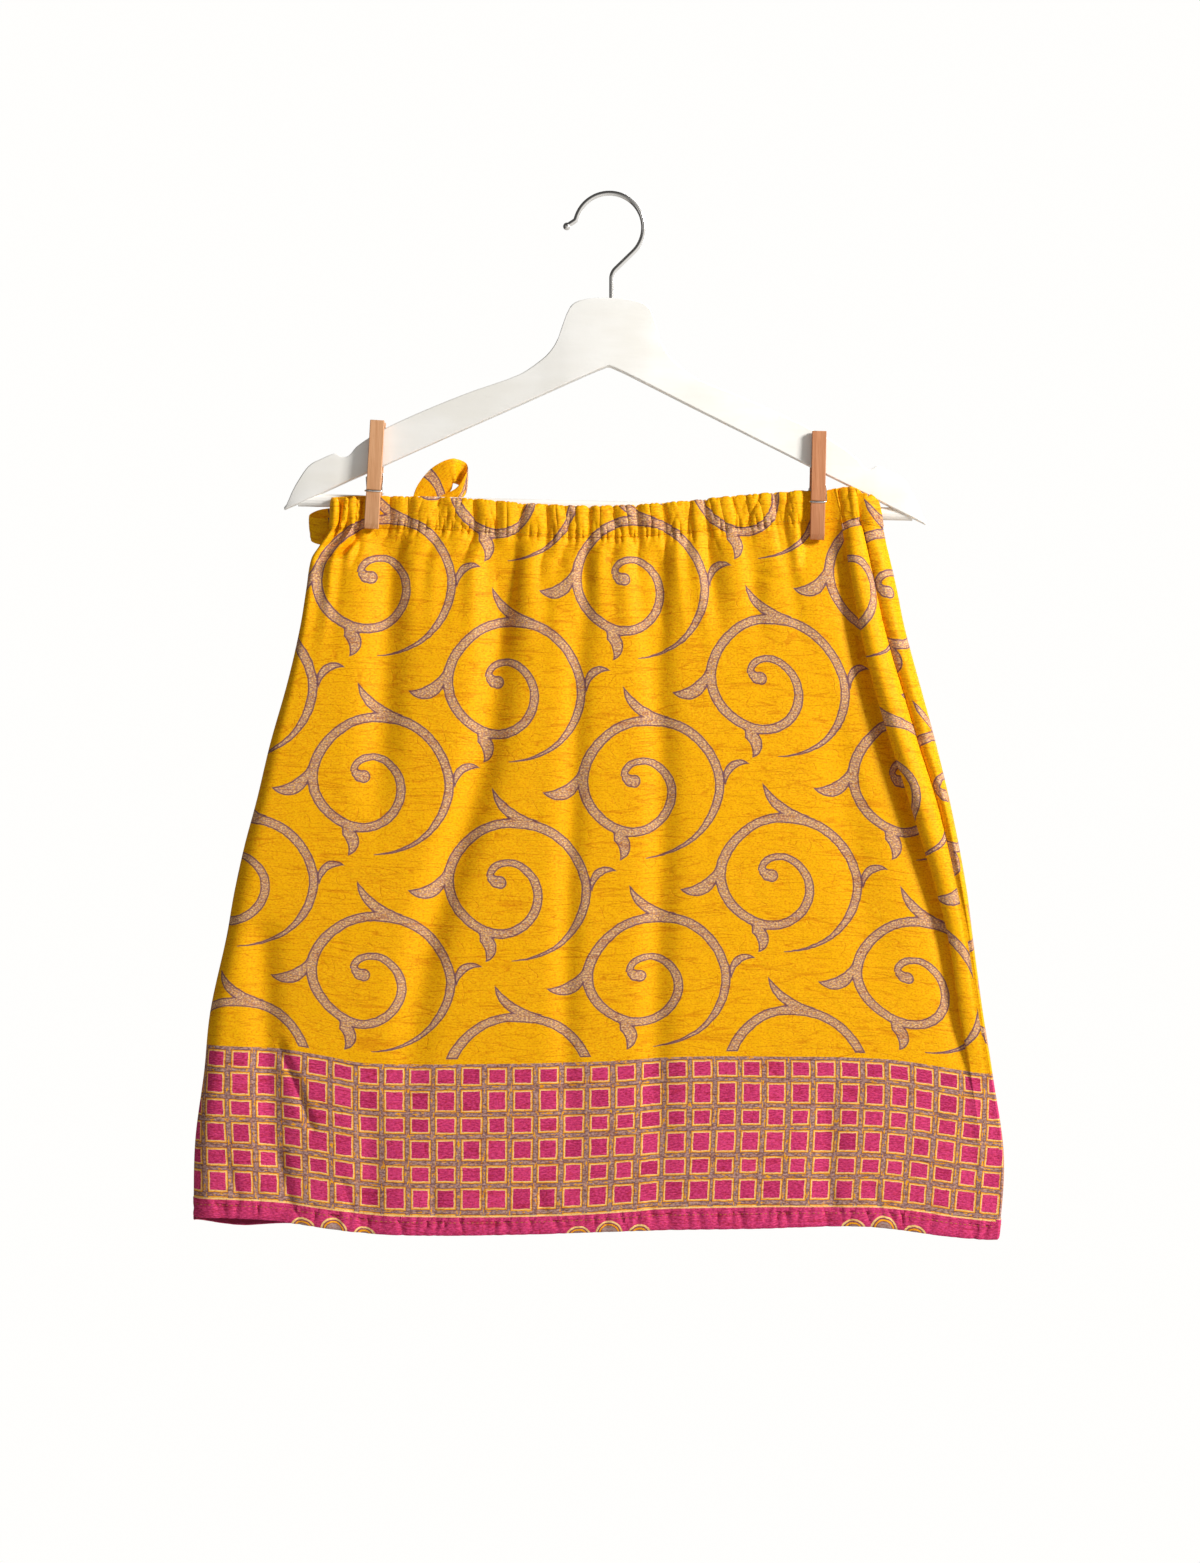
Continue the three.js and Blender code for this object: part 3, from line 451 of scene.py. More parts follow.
def one_crease(across, drop, top_x, foot_x, depth, width, reach):
    """A sharp line through the casing that opens out and fades in the skirt below."""
    below = np.maximum(drop - STITCH_DROP, 0)
    up = np.clip((STITCH_DROP - drop) / CASING_HEIGHT, 0, 1)
    far = np.abs(across - mix(foot_x, top_x, up)) / (width * (1 + 1.6 * below / reach))
    profile = 0.75 * np.exp(-(far / 0.42) ** 1.3) + 0.55 * np.exp(-(far / 1.5) ** 2)
    fade = (1 - smooth(below, 0, reach)) * mix(1, 0.5, smooth(below, 0, 8))
    return CREASE_STRENGTH * depth * fade * profile


def one_end_puff(across, drop, top_x, foot_x, height, width):
    line = mix(top_x, foot_x, smooth(drop, 206, 234))
    fade = smooth(drop, 200, 207) * (1 - smooth(drop, 222, 238))
    return height * bell(across - line, width) * fade


def puff(across, drop):
    """How far the casing swells forward between its gathers, as a move in y."""
    pinch = np.max([bell(across - x, PINCH_WIDTH) for x in GATHERS], axis=0)
    stitched = 0.55 * bell(drop - STITCH_DROP, 4)
    fade = smooth(drop, 201, 207) * (1 - stitched) * (1 - smooth(drop, 232, 320))
    return -PUFF * mix(1, PUFF_AT_END, smooth(-across, 158, 166)) * (1 - pinch) * fade


print(len(CREASES["depth"]), "creases between", len(GATHERS), "gathers")

# %% [markdown]
# ## Puckers and wrinkles
# Small puckers sit along the stitching, and short slanting wrinkles lie all about the casing.
# There are far too many to place by hand, and nobody could tell one from another, so they come
# from seeded random rows: the same seed gives the same skirt every time.

# %% Puckers and wrinkles
PUCKER_STEP = 5.2
pucker_draw = np.random.default_rng(7)
pucker_x = np.arange(-182, 166, PUCKER_STEP)
pucker_x = pucker_x + pucker_draw.uniform(-1.8, 1.8, len(pucker_x))
PUCKERS = {
    "x": pucker_x,
    "depth": pucker_draw.uniform(0.8, 2.2, len(pucker_x)),
    "down": pucker_draw.uniform(3, 10, len(pucker_x)),
}


def one_pucker(across, drop, x, depth, down):
    below = drop - STITCH_DROP
    fade = (1 - smooth(-below, 2, 8)) * (1 - smooth(below, 0, down))
    return depth * fade * bell(across - x, 0.8 + 0.1 * np.maximum(below, 0))


WRINKLES = 130
wrinkle_draw = np.random.default_rng(33)
wrinkle_foot = wrinkle_draw.uniform(-184, 176, WRINKLES)
WRINKLE_TABLE = {
    "x": wrinkle_foot,
    "start": wrinkle_draw.choice([205, 208, 211, 214, 217, 220, 224, 236], WRINKLES),
    "lean": wrinkle_draw.normal(0, 0.55, WRINKLES),
    "half": wrinkle_draw.uniform(3, 9, WRINKLES),
    "width": wrinkle_draw.uniform(0.7, 1.7, WRINKLES),
    "depth": wrinkle_draw.uniform(-0.7, 1.6, WRINKLES),
}


def one_wrinkle(across, drop, x, start, lean, half, width, depth):
    """A short slanting trough, or a ridge where its depth is negative."""
    down = drop - start
    return depth * bell(down, half) * bell(across - x - lean * down, width)


print(len(PUCKERS["x"]), "puckers and", WRINKLES, "wrinkles")

# %% [markdown]
# ## Sharp creases
# Some creases don't hang straight: the bunch at the left where the tie pulls, a kink in the
# border, and the pressed lines that cross the print. Each is a line of a few points. The
# cloth dips along it, and the step lifts the cloth on its left side a little higher than on
# its right, as where one lap of cloth rolls over the next.

# %% Creases along lines
CREASE_LINES = [  # width, depth and step, and then x and drop of each point
    (2.2, 3.4, 5.2, [(-166.5, 222), (-169, 233), (-176, 241), (-187, 245), (-199, 247)]),
    (2.0, 2.0, 1.4, [(-174, 226), (-180, 234), (-190, 238)]),
    (2.4, 1.6, 0.6, [(-165, 226), (-166, 240), (-172, 254)]),
    (2.8, 2.6, 1.2, [(-220, 562), (-209, 590), (-198, 619), (-192, 630)]),
    (4.5, 2.2, 0.6, [(-218, 640), (-216, 654), (-211, 676), (-208, 686)]),
    (3.0, 1.3, 0.4, [(-253, 650), (-244, 680)]),
    (2.4, 0.8, 0.2, [(-234, 662), (-230, 682)]),
    (1.6, 0.7, 0.2, [(-204, 648), (-185, 656), (-166, 663), (-144, 670)]),
    (3.2, 1.4, 0.3, [(-176, 655), (-168, 682)]),
    (3.4, 1.2, 0.2, [(-116, 655), (-113, 684)]),
    (3.2, 1.2, -0.3, [(-46, 655), (-40, 684)]),
    (1.4, 0.6, 0.1, [(139, 592), (160, 600), (170, 609), (176, 618)]),
    (1.5, 0.5, 0.1, [(193, 601), (210, 594)]),
    (1.5, 0.5, 0.0, [(144, 637), (155, 637), (161, 643)]),
    (1.7, 0.7, 0.1, [(206, 646), (229, 649), (243, 654)]),
    (1.5, 0.5, 0.0, [(68, 652), (84, 660)]),
    (3.0, 1.0, 0.2, [(26, 668), (34, 684)]),
    (3.4, 1.2, 0.3, [(150, 665), (153, 683)]),
    (3.0, 0.9, 0.1, [(176, 660), (184, 684)]),
    (1.6, 0.5, 0.0, [(120, 292), (137, 300), (150, 312)]),
    (1.6, 0.5, 0.0, [(96, 254), (118, 262), (132, 260)]),
    (1.5, 0.4, 0.0, [(150, 330), (166, 322)]),
    (1.8, 0.5, 0.0, [(-182, 500), (-166, 508), (-150, 506)]),
    (1.5, 0.4, 0.0, [(-60, 420), (-38, 414)]),
    (1.6, 0.4, 0.0, [(92, 470), (118, 463), (140, 468)]),
]


def line_crease(x, drop, width, depth, step, points):
    nearest = np.full(np.broadcast(x, drop).shape, 1e9)
    side = np.zeros_like(nearest)
    along = np.zeros_like(nearest)
    pieces = list(zip(points[:-1], points[1:]))
    for k, ((ax, ad), (bx, bd)) in enumerate(pieces):
        dx, dd = bx - ax, bd - ad
        length = math.hypot(dx, dd)
        t = np.clip(((x - ax) * dx + (drop - ad) * dd) / length**2, 0, 1)
        away = np.hypot(x - ax - t * dx, drop - ad - t * dd)
        closer = away < nearest
        nearest = np.where(closer, away, nearest)
        side = np.where(closer, np.sign((x - ax) * dd - (drop - ad) * dx), side)
        along = np.where(closer, (k + t) / len(pieces), along)
    taper = smooth(along, 0, 0.15) * (1 - smooth(along, 0.75, 1))
    dip = depth * np.exp(-(nearest / width) ** 1.5)
    lift = step * (side > 0) * np.exp(-nearest / (4 * width)) * (1 - np.exp(-(nearest / width) ** 2))
    return taper * (dip - lift)


def sharp_creases(x, drop):
    return sum(line_crease(x, drop, *crease) for crease in CREASE_LINES)


print(len(CREASE_LINES), "creases along lines")

# %% [markdown]
# ## A curve through points
# A rolled edge of cloth has no simple formula, but a few points say where it runs. The curve
# that joins them passes through every one and never loops, however unevenly they are spaced.
# The same curve serves for the roll, for the strip beside it and for the straps.

# %% A curve through points
def curve_through(keys, at):
    """A smooth curve through keys[..., k, :], read at places from 0 to 1."""
    count = keys.shape[-2]
    place = at * (count - 1)
    i = np.minimum(place.astype(int), count - 2)
    t = (place - i)[..., None]

    def key(k):
        inside = np.clip(k, 0, count - 1)
        return np.take_along_axis(keys, inside[..., None, None], axis=-2)[..., 0, :]

    a, b, c, d = key(i - 1), key(i), key(i + 1), key(i + 2)
    a = np.where((i == 0)[..., None], 2 * b - c, a)
    d = np.where((i == count - 2)[..., None], 2 * c - b, d)
    span = [np.maximum(np.linalg.norm(q - p, axis=-1, keepdims=True) ** 0.5, 1e-3)
            for p, q in ((a, b), (b, c), (c, d))]
    leave = (b - a) / span[0] - (c - a) / (span[0] + span[1]) + (c - b) / span[1]
    arrive = (c - b) / span[1] - (d - b) / (span[1] + span[2]) + (d - c) / span[2]
    leave, arrive = leave * span[1], arrive * span[1]
    return (b * (2 * t**3 - 3 * t**2 + 1) + leave * (t**3 - 2 * t**2 + t)
            + c * (3 * t**2 - 2 * t**3) + arrive * (t**3 - t**2))


def outline(keys, at):
    """The curve through a list of keys, each the grids of its x and its y."""
    points = np.stack([np.stack(np.broadcast_arrays(*key), -1) for key in keys], axis=-2)
    return curve_through(points, at)


corners = np.array([[0.0, 0.0], [1.0, 1.0], [2.0, 0.0]])
print("a curve over a corner", curve_through(corners[None], np.array([0.25]))[0].round(2))

# %% [markdown]
# ## The rolled fold
# Beside the right seam the front swells up, leans over to the left and comes down to the seam.
# Ten points make its section: the foot of the roll, its overhanging edge, its crown and the
# way down. All of them follow the plan's rise, so the roll fades where the rise does.

# %% The rolled fold
FLAT_END = 26
FULL_RISE = 14


def rolled_fold(plan, at):
    ridge, seam, rise, valley = plan["ridge"], plan["seam"], plan["rise"], plan["valley"]
    sink, lift = plan["sink"], plan["lift"]
    roll = np.minimum(1, rise / FULL_RISE)
    wide = seam - ridge
    crown = mix(0.98, 1.12, (lift - LIFT_HIGH_UP) / (LIFT_LOW_DOWN - LIFT_HIGH_UP))
    return outline([
        (ridge - FLAT_END, plan["front"]),
        (ridge - 13, plan["front"] + 0.12 * rise + 0.1 * sink),
        (ridge - 2, valley + 0.3 * sink),
        (ridge + 2.6 * roll + 0.6, valley - 0.12 * rise),
        (ridge + 1.4, valley - 0.46 * rise),
        (ridge + 1.5 - 2.2 * roll, valley - 0.8 * rise),
        (ridge + 0.3 * wide, valley - 1.1 * rise + 0.5 * sink),
        (ridge + 0.68 * wide, valley - crown * rise + 0.8 * sink),
        (seam - 1.8, valley - (lift + 0.02) * rise + sink),
        (seam, valley - lift * rise + sink + plan["groove"]),
    ], at)


crown = rolled_fold(section(np.array([400.0])), np.array([0.7]))[0]
print("the roll's crown 400 mm down, x and y", crown.round(1))

# %% [markdown]
# ## Where the pegs hold
# A peg's jaws press the waist flat and hold it back, so the gathers beside it stop short. Each
# peg leans a little, and its hold follows its middle line down and fades below the jaw.

# %% Where the pegs hold
PEGS = {
    "left": {"x": -157.4, "drop": 223.8, "lean": 3.1},
    "right": {"x": 141.7, "drop": 231.2, "lean": 1.2},
}
HELD_Y = 2.6
GRIP_HALF = 7
GRIP_REACH = 26
GRIP_REACH_LEFT = 0.55 * GRIP_REACH


def off_peg(peg, x, drop):
    """How far a point lies to the right of the middle line of a leaning peg."""
    return x - (peg["x"] + math.tan(math.radians(peg["lean"])) * (peg["drop"] - drop))


def peg_grip(x, drop):
    """How firmly a peg holds the waist back, from 0 to 1."""
    grip = 0
    for peg in PEGS.values():
        off = off_peg(peg, x, drop)
        reach = np.where(off < 0, GRIP_REACH_LEFT, GRIP_REACH)
        beside = 1 - smooth((np.abs(off) - GRIP_HALF) / (reach - GRIP_HALF), 0, 1)
        grip = np.maximum(grip, beside * (1 - smooth(drop, peg["drop"] + 2, peg["drop"] + 30)))
    return grip


def under_jaw(x, drop):
    """1 where a peg's jaw presses the cloth flat, and 0 beside it."""
    pressed = 0
    for peg in PEGS.values():
        beside = 1 - smooth(np.abs(off_peg(peg, x, drop)), GRIP_HALF - 1, GRIP_HALF + 3)
        pressed = np.maximum(pressed, beside * (1 - smooth(drop, peg["drop"] + 1, peg["drop"] + 8)))
    return pressed


print("hold at the left peg", peg_grip(np.array([-157.0]), np.array([224.0])))

# %% [markdown]
# ## Front layer
# The front is one surface from the left side seam to the right one: a soft turn round the
# left edge, the flat, and then the rolled fold. It is worked out on a grid of columns and
# heights. The roll hides some cloth beside its foot, so the print skips that much there. At
# the end the cloth is held by the pegs and kept in front of the back panel.

# %% The front's surface
WAIST_FORMS = [(CREASES, one_crease), (PUCKERS, one_pucker), (WRINKLE_TABLE, one_wrinkle)]
SWALLOWED = table("drop cloth", [
    (204, 0), (226, 2), (245, 12), (290, 14), (330, 6), (380, 0), (420, 0),
])
ROLL_AT_WAIST = 40
CLEAR = 0.4
CLEAR_SOFT = 1.6
TURN, FLAT, ROLL = 0, 1, 2


def columns_of(*counts):
    """For each column its kind, the turn first, and its place in that kind, from 0 to 1."""
    kind = np.repeat(np.arange(len(counts)), counts)
    last = counts[-1]
    parts = [np.linspace(0, 1, count, endpoint=False) for count in counts[:-1]]
    return kind, np.concatenate([*parts, np.linspace(0, 1, last)])


def on_grid(columns, drop):
    """Kinds of the columns, and place and height of every point of a grid."""
    kind, at = columns
    shape = (drop.shape[0], len(kind))
    return kind, np.broadcast_to(at, shape), np.broadcast_to(drop, shape)


def edge_turn(plan, at, start_y, end_y):
    """The soft quarter turn round the left edge, from the side seam to the flat."""
    angle = at * math.pi / 2
    return plan["left"] + plan["turn"] * (1 - np.cos(angle)), start_y + (end_y - start_y) * np.sin(angle)


def cloth_length(x, y):
    """Length along the cloth from a grid's first column to each of its points."""
    step = np.hypot(np.diff(x, axis=1), np.diff(y, axis=1))
    return np.concatenate([np.zeros((len(x), 1)), np.cumsum(step, axis=1)], axis=1)


def front_surface(columns, drop):
    """x, y, place across the waist and length along the cloth, for each height and column."""
    kind, at, drop = on_grid(columns, drop)
    turns, flats, rolls = kind == TURN, kind == FLAT, kind == ROLL
    top = section(float(WAIST_DROP))
    x, y, across, loose = (np.ones(drop.shape) for _ in range(4))

    plan = section(drop[:, turns])
    x[:, turns], y[:, turns] = edge_turn(plan, at[:, turns], plan["middle"] - SEAM_GAP, plan["front"])
    across[:, turns] = top["left"] + top["turn"] * at[:, turns]
    loose[:, turns] = smooth(at[:, turns], 0.2, 1)

    plan = section(drop[:, flats])
    x[:, flats] = mix(plan["left"] + plan["turn"], plan["ridge"] - FLAT_END, at[:, flats])
    y[:, flats] = plan["front"]
    across[:, flats] = mix(top["left"] + top["turn"], top["ridge"] - FLAT_END, at[:, flats])

    roll = rolled_fold(section(drop[:, rolls]), at[:, rolls])
    x[:, rolls] = roll[..., 0] - SEAM_GAP * at[:, rolls]
    y[:, rolls] = roll[..., 1]
    across[:, rolls] = top["ridge"] - FLAT_END + ROLL_AT_WAIST * at[:, rolls]
    loose[:, rolls] = 1 - smooth(at[:, rolls], 0, 0.3)

    along = cloth_length(x, y)
    middle = int(np.argmax(flats)) + int(flats.sum() / 2)
    along += x[:, middle:middle + 1] - along[:, middle:middle + 1]
    along[:, rolls] += read(SWALLOWED, "drop", "cloth", drop[:, rolls]) * smooth(at[:, rolls], 0.22, 0.5)

    grip = peg_grip(x, drop)
    y = mix(y + puff(across, drop), HELD_Y, grip)
    gathers = sum(total(*form, across, drop) for form in WAIST_FORMS)
    soft = total(FRONT_FOLDS, one_fold, x, drop) + sharp_creases(x, drop)
    soft = soft - total(END_PUFFS, one_end_puff, across, drop)
    near_roll = np.maximum(loose, 0.7 * (across > 150) * (drop < 232))
    y = y + (loose * soft + near_roll * gathers) * (1 - under_jaw(x, drop))
    behind = section(drop)["back"] - LAYER_STEP - CLEAR
    close = np.maximum(behind - y, 0) / CLEAR_SOFT
    clear = behind - CLEAR_SOFT * np.where(y < behind, np.sqrt(close * close + 0.2), 0.45)
    return x, mix(clear, y, grip), across, along


along = front_surface(columns_of(8, 236, 48), np.array([[300.0], [500.0]]))[3]
print("cloth across the front", np.round(along[:, -1] - along[:, 0]), "mm")

# %% [markdown]
# ## Back layers
# The outer back panel starts at the right seam, comes round the right edge as a narrow strip
# beside the roll, and runs across the back. The inner one starts at the left edge and slides
# under it. That lap is the wrap of the skirt. Both are grids too, seen from outside.

# %% The back's surfaces
MIRROR_SHIFT = 9


def back_y(x, drop):
    corner = 2.3 * smooth(x, 148, 166) * (1 - smooth(drop, 212, 244))
    return section(drop)["back"] - corner - total(BACK_FOLDS, one_fold, x, drop)


def side_strip(plan, drop, at):
    """The outer back panel's narrow strip, from the seam round the right edge."""
    seam, right, seam_y = plan["seam"], plan["right"], plan["seam_y"]
    wide = right - seam
    swell = np.minimum(2.2, 0.12 * wide + 0.14 * plan["rise"]) * smooth(wide, 3, 9)
    back = back_y(right - STRIP_BACK, drop)
    return outline([
        (seam, seam_y + plan["groove"]),
        (seam + np.minimum(1.6, 0.25 * wide), seam_y),
        (seam + 0.5 * wide, seam_y - 0.7 * swell),
        (right - 0.16 * wide, mix(seam_y, back, 0.16)),
        (right, (seam_y + back) / 2),
        (right - 1.6, mix(back, seam_y, 0.16)),
        (right - 5.5, back),
        (right - STRIP_BACK, back),
    ], at)


def back_across(x, flare):
    """Place across the back's waist: the front's places, mirrored and moved a little."""
    return MIRROR_SHIFT - x / flare


def back_gathers(x, drop, flare):
    place = (back_across(x, flare), drop)
    creases = total(CREASES, one_crease, *place)
    return -(puff(*place) + 0.8 * creases + total(PUCKERS, one_pucker, *place))


def back_over_surface(columns, drop):
    kind, at, drop = on_grid(columns, drop)
    turns, flats = kind == TURN, kind == FLAT
    x, y = np.zeros(drop.shape), np.zeros(drop.shape)
    plan = section(drop[:, turns])
    strip = side_strip(plan, drop[:, turns], at[:, turns])
    x[:, turns] = strip[..., 0] + SEAM_GAP * (1 - at[:, turns])
    y[:, turns] = strip[..., 1]
    plan = section(drop[:, flats])
    x[:, flats] = mix(plan["right"] - STRIP_BACK, -OVERLAP_LEFT * plan["flare"], at[:, flats])
    y[:, flats] = back_y(x[:, flats], drop[:, flats])
    along = cloth_length(x, y)
    y[:, flats] += back_gathers(x[:, flats], drop[:, flats], plan["flare"])
    return x, y, back_across(x, section(drop)["flare"]), along


def back_under_surface(columns, drop):
    kind, at, drop = on_grid(columns, drop)
    turns = kind == TURN
    plan = section(drop)
    flat_start = plan["left"] + plan["turn"]
    turn_x, turn_y = edge_turn(plan, at, plan["middle"] + SEAM_GAP, back_y(flat_start, drop))
    flat_x = mix(flat_start, -OVERLAP_RIGHT * plan["flare"], at)
    lap = smooth(OVERLAP_LEFT + flat_x / plan["flare"], -19, -4)
    flat_y = back_y(flat_x, drop) - LAYER_STEP * lap
    loose_y = flat_y + (1 - lap) * back_gathers(flat_x, drop, plan["flare"])
    x, y = np.where(turns, turn_x, flat_x), np.where(turns, turn_y, loose_y)
    along = cloth_length(x, np.where(turns, turn_y, flat_y))
    return x, y, back_across(x, plan["flare"]), along


print("lap of the wrap at the waist", OVERLAP_LEFT - OVERLAP_RIGHT, "mm")

# %% [markdown]
# ## Where the print lies on the cloth
# Cloth carries its print with it, so each sheet gets a UV map in metres of cloth: one
# direction along the cloth, the other up from the border's top line. The gathers squeeze the
# print at the waist, and hand-set block printing drifts a little from column to column. Below
# the border's top line the map is stretched, so the border always ends at the hem band.

# %% Print coordinates
SCROLL_PITCH = (188.0, 132.5)
COLUMN_PITCH = SCROLL_PITCH[0] / 2
SQUARE_PITCH = (SCROLL_PITCH[0] / 11, 16.1)
BORDER_HEIGHT = 100.6
BORDER_LEVEL = 581
PRINT_LAY = table("drop origin pitch", [
    (204, 9.5, 81.5), (256, 12.4, 84.5), (325, 15.7, 88), (387, 18.8, 90.3), (452, 20, 90.8),
    (518, 22.5, 92), (590, 24.8, 94.3), (670, 22.5, 92.7), (702, 20.5, 92),
])
COLUMN_DRIFT = table("x lower", [
    (-260, 1.5), (-164, 1.7), (-122, 2.5), (-78, 4.3), (-32, 5), (15, 5), (60, 2.5), (106, 1),
    (160, 3), (208, 5.5), (280, 5.5),
])


def cloth_up(x, real):
    """Height on the cloth above the border's top line, for a point's real drop."""
    line = read(BORDER_TOP, "x", "drop", x)
    band = read(HEM_TOP, "x", "drop", x)
    drift = read(COLUMN_DRIFT, "x", "lower", x) * mix(0.4, 1, smooth(real, 250, 390))
    drift = drift * (1 - smooth(real, 505, 570))
    above = BORDER_LEVEL - real + (line - BORDER_LEVEL) * smooth(real, 400, BORDER_LEVEL) + drift
    below = (line - real) * BORDER_HEIGHT / (band - line)
    return np.where(real < line, above, below)


def cloth_across(along, drop):
    origin, pitch = (read(PRINT_LAY, "drop", name, drop) for name in ("origin", "pitch"))
    low_right = 0.045 * np.maximum(along - 60, 0) * smooth(drop, 440, 540)
    high_left = 0.12 * np.maximum(-150 - along, 0) * (1 - smooth(drop, 290, 380))
    return (along - origin) * COLUMN_PITCH / pitch + low_right + high_left


for drop in (256, 590):
    pitch = float(read(PRINT_LAY, "drop", "pitch", drop))
    print("print squeezed to", round(pitch / COLUMN_PITCH, 2), "at", drop)

# %% [markdown]
# ## From a grid to a sheet
# A grid of points becomes a mesh of quads. Solidify then gives it the thickness of thin silk
# and cotton cloth, with a closed rim, and puts the paler reverse of the print on the inside.
# The rims stay crisp because only edges under fifty degrees are smoothed.

# %% Sheet builder
CLOTH = 0.55


def select_only(obj):
    bpy.ops.object.select_all(action="DESELECT")
    obj.select_set(True)
    bpy.context.view_layer.objects.active = obj


def grid_mesh(name, x, y, drop, u, up):
    rows, columns = x.shape
    points = np.stack([x, y, -drop], -1).reshape(-1, 3) * MM
    corner = (np.arange(rows - 1)[:, None] * columns + np.arange(columns - 1)).ravel()
    faces = np.stack([corner, corner + columns, corner + columns + 1, corner + 1], -1)
    mesh = bpy.data.meshes.new(name)
    mesh.vertices.add(len(points))
    mesh.vertices.foreach_set("co", points.ravel().astype(np.float32))
    mesh.loops.add(faces.size)
    mesh.loops.foreach_set("vertex_index", faces.ravel().astype(np.int32))
    mesh.polygons.add(len(faces))
    mesh.polygons.foreach_set("loop_start", np.arange(0, faces.size, 4, dtype=np.int32))
    mesh.update(calc_edges=True)
    lay = mesh.uv_layers.new(name="print")
    flat = np.stack([u, up], -1).reshape(-1, 2)[faces.ravel()] * MM
    lay.data.foreach_set("uv", flat.ravel().astype(np.float32))
    obj = bpy.data.objects.new(name, mesh)
    bpy.context.collection.objects.link(obj)
    return obj


def thicken(obj, thickness=CLOTH):
    select_only(obj)
    wall = obj.modifiers.new("cloth", "SOLIDIFY")
    wall.thickness = thickness * MM
    wall.offset = 0
    wall.material_offset = 1
    wall.material_offset_rim = 0
    bpy.ops.object.modifier_apply(modifier=wall.name)
    bpy.ops.object.shade_smooth_by_angle(angle=math.radians(50))
    obj.data.calc_loop_triangles()
    print(obj.name, len(obj.data.loop_triangles), "triangles")
    return obj


def pushed(x, y, out):
    """Moves each point of a grid outwards, square to the cloth and level."""
    dx, dy = np.gradient(x, axis=1), np.gradient(y, axis=1)
    length = np.maximum(np.hypot(dx, dy), 1e-6)
    return x + out * dy / length, y - out * dx / length


# %% [markdown]
# ## The three layers
# The front, the outer back and the inner back each have a surface, a row of columns and the
# side on which their heights are read. Columns are close together, because the folds run down,
# and the heights are closest under the gathers and at the hem, where the cloth has most to
# show. The inner back runs the other way, so that it too is seen from outside.

# %% Layers
def backwards(columns):
    kind, at = columns
    return kind[::-1], at[::-1]


LAYERS = {
    "front": (front_surface, columns_of(8, 330, 48), "front"),
    "back_over": (back_over_surface, columns_of(40, 130), "back"),
    "back_under": (back_under_surface, backwards(columns_of(8, 92)), "back"),
}
PANEL_TOP, GATHERS_END, LOWER_START = 222.4, 262, 560
UPPER_ROWS = np.concatenate([
    np.linspace(PANEL_TOP, GATHERS_END, 24, endpoint=False),
    np.linspace(GATHERS_END, LOWER_START, 52, endpoint=False),
])[:, None]
LOWER_SHARES = np.linspace(0, 1, 36)[:, None]
HEM_HEIGHT = 13
HEM_LOOK = 683.0
TUCK = 2.5


def band_line(x, side):
    """Real height of the hem band's top edge."""
    if side == "front":
        return read(HEM_TOP, "x", "drop", x)
    return read(HEM_EDGE, "x", "back", x) - HEM_HEIGHT


def hem_drop(layer, share):
    """Height on the plain form of a share of the hem band, 0 at its top and 1 at its edge."""
    surface, columns, side = LAYERS[layer]
    x = surface(columns, np.array([[HEM_LOOK]]))[0]
    edge = read(HEM_EDGE, "x", side, x)
    return HEM_DROP - (edge - mix(band_line(x, side), edge, share))


print("columns", {layer: len(parts[1][0]) for layer, parts in LAYERS.items()})

# %% [markdown]
# ## The print on each layer
# All three panels are cut from the same printed cloth, each from another part of it. Beside
# the right seam the outer back panel's squares go on from the front's, as careful sewing
# would have them, so there its print follows the front's length along the cloth.

# %% The print on each layer
SEAM_DROPS = np.linspace(222, 700, 60)
SEAM_ALONG = front_surface(LAYERS["front"][1], SEAM_DROPS[:, None])[3][:, -1]
SEAM_SQUARES = 15
OVER_START, OVER_RAISE = -10, 8.8
UNDER_START = 31


def print_place(layer, x, along, drop, real):
    """Place on the printed cloth of each point of a layer."""
    up = cloth_up(x, real)
    if layer == "front":
        return cloth_across(along, drop), up
    if layer == "back_under":
        return along + UNDER_START, up
    seam = np.interp(drop, SEAM_DROPS, SEAM_ALONG)
    follow = cloth_across(seam, drop) - SEAM_SQUARES * SQUARE_PITCH[0]
    near_seam = smooth(drop, 480, 580) * (1 - smooth(along, 12, 70))
    return along + mix(OVER_START, follow, near_seam), up + OVER_RAISE * smooth(590 - real, 20, 90)


print("the front's print ends", (SEAM_ALONG[-1] / SQUARE_PITCH[0]).round(1), "squares to the right")

# %% [markdown]
# ## Panels
# Each panel is one cut of the printed cloth. It starts just behind the casing's stitching and
# ends behind the hem band, and a little of it is tucked under both.

# %% Panels
def make_panel(layer):
    surface, columns, side = LAYERS[layer]
    upper = np.broadcast_to(UPPER_ROWS, (len(UPPER_ROWS), len(columns[0])))
    foot = hem_drop(layer, 0) + TUCK
    drop = np.concatenate([upper, mix(LOWER_START, foot, LOWER_SHARES)])
    x, y, _, along = surface(columns, drop)
    x, y = pushed(x, y, -0.5 * (drop < STITCH_DROP))
    real = settle(x, drop, side)
    return thicken(grid_mesh(layer + "_cloth", x, y, real, *print_place(layer, x, along, drop, real)))


panels = {layer: make_panel(layer) for layer in LAYERS}
print("faces", {layer: len(panel.data.polygons) for layer, panel in panels.items()})

# %% [markdown]
# ## Casings
# The waist channel is the cloth itself, turned over to the inside and stitched down. Seen in
# section it is a narrow loop: up the outside, round the top edge and down the inside. The
# section is carried along the waist, and the creases notch the top edge where they cross it.

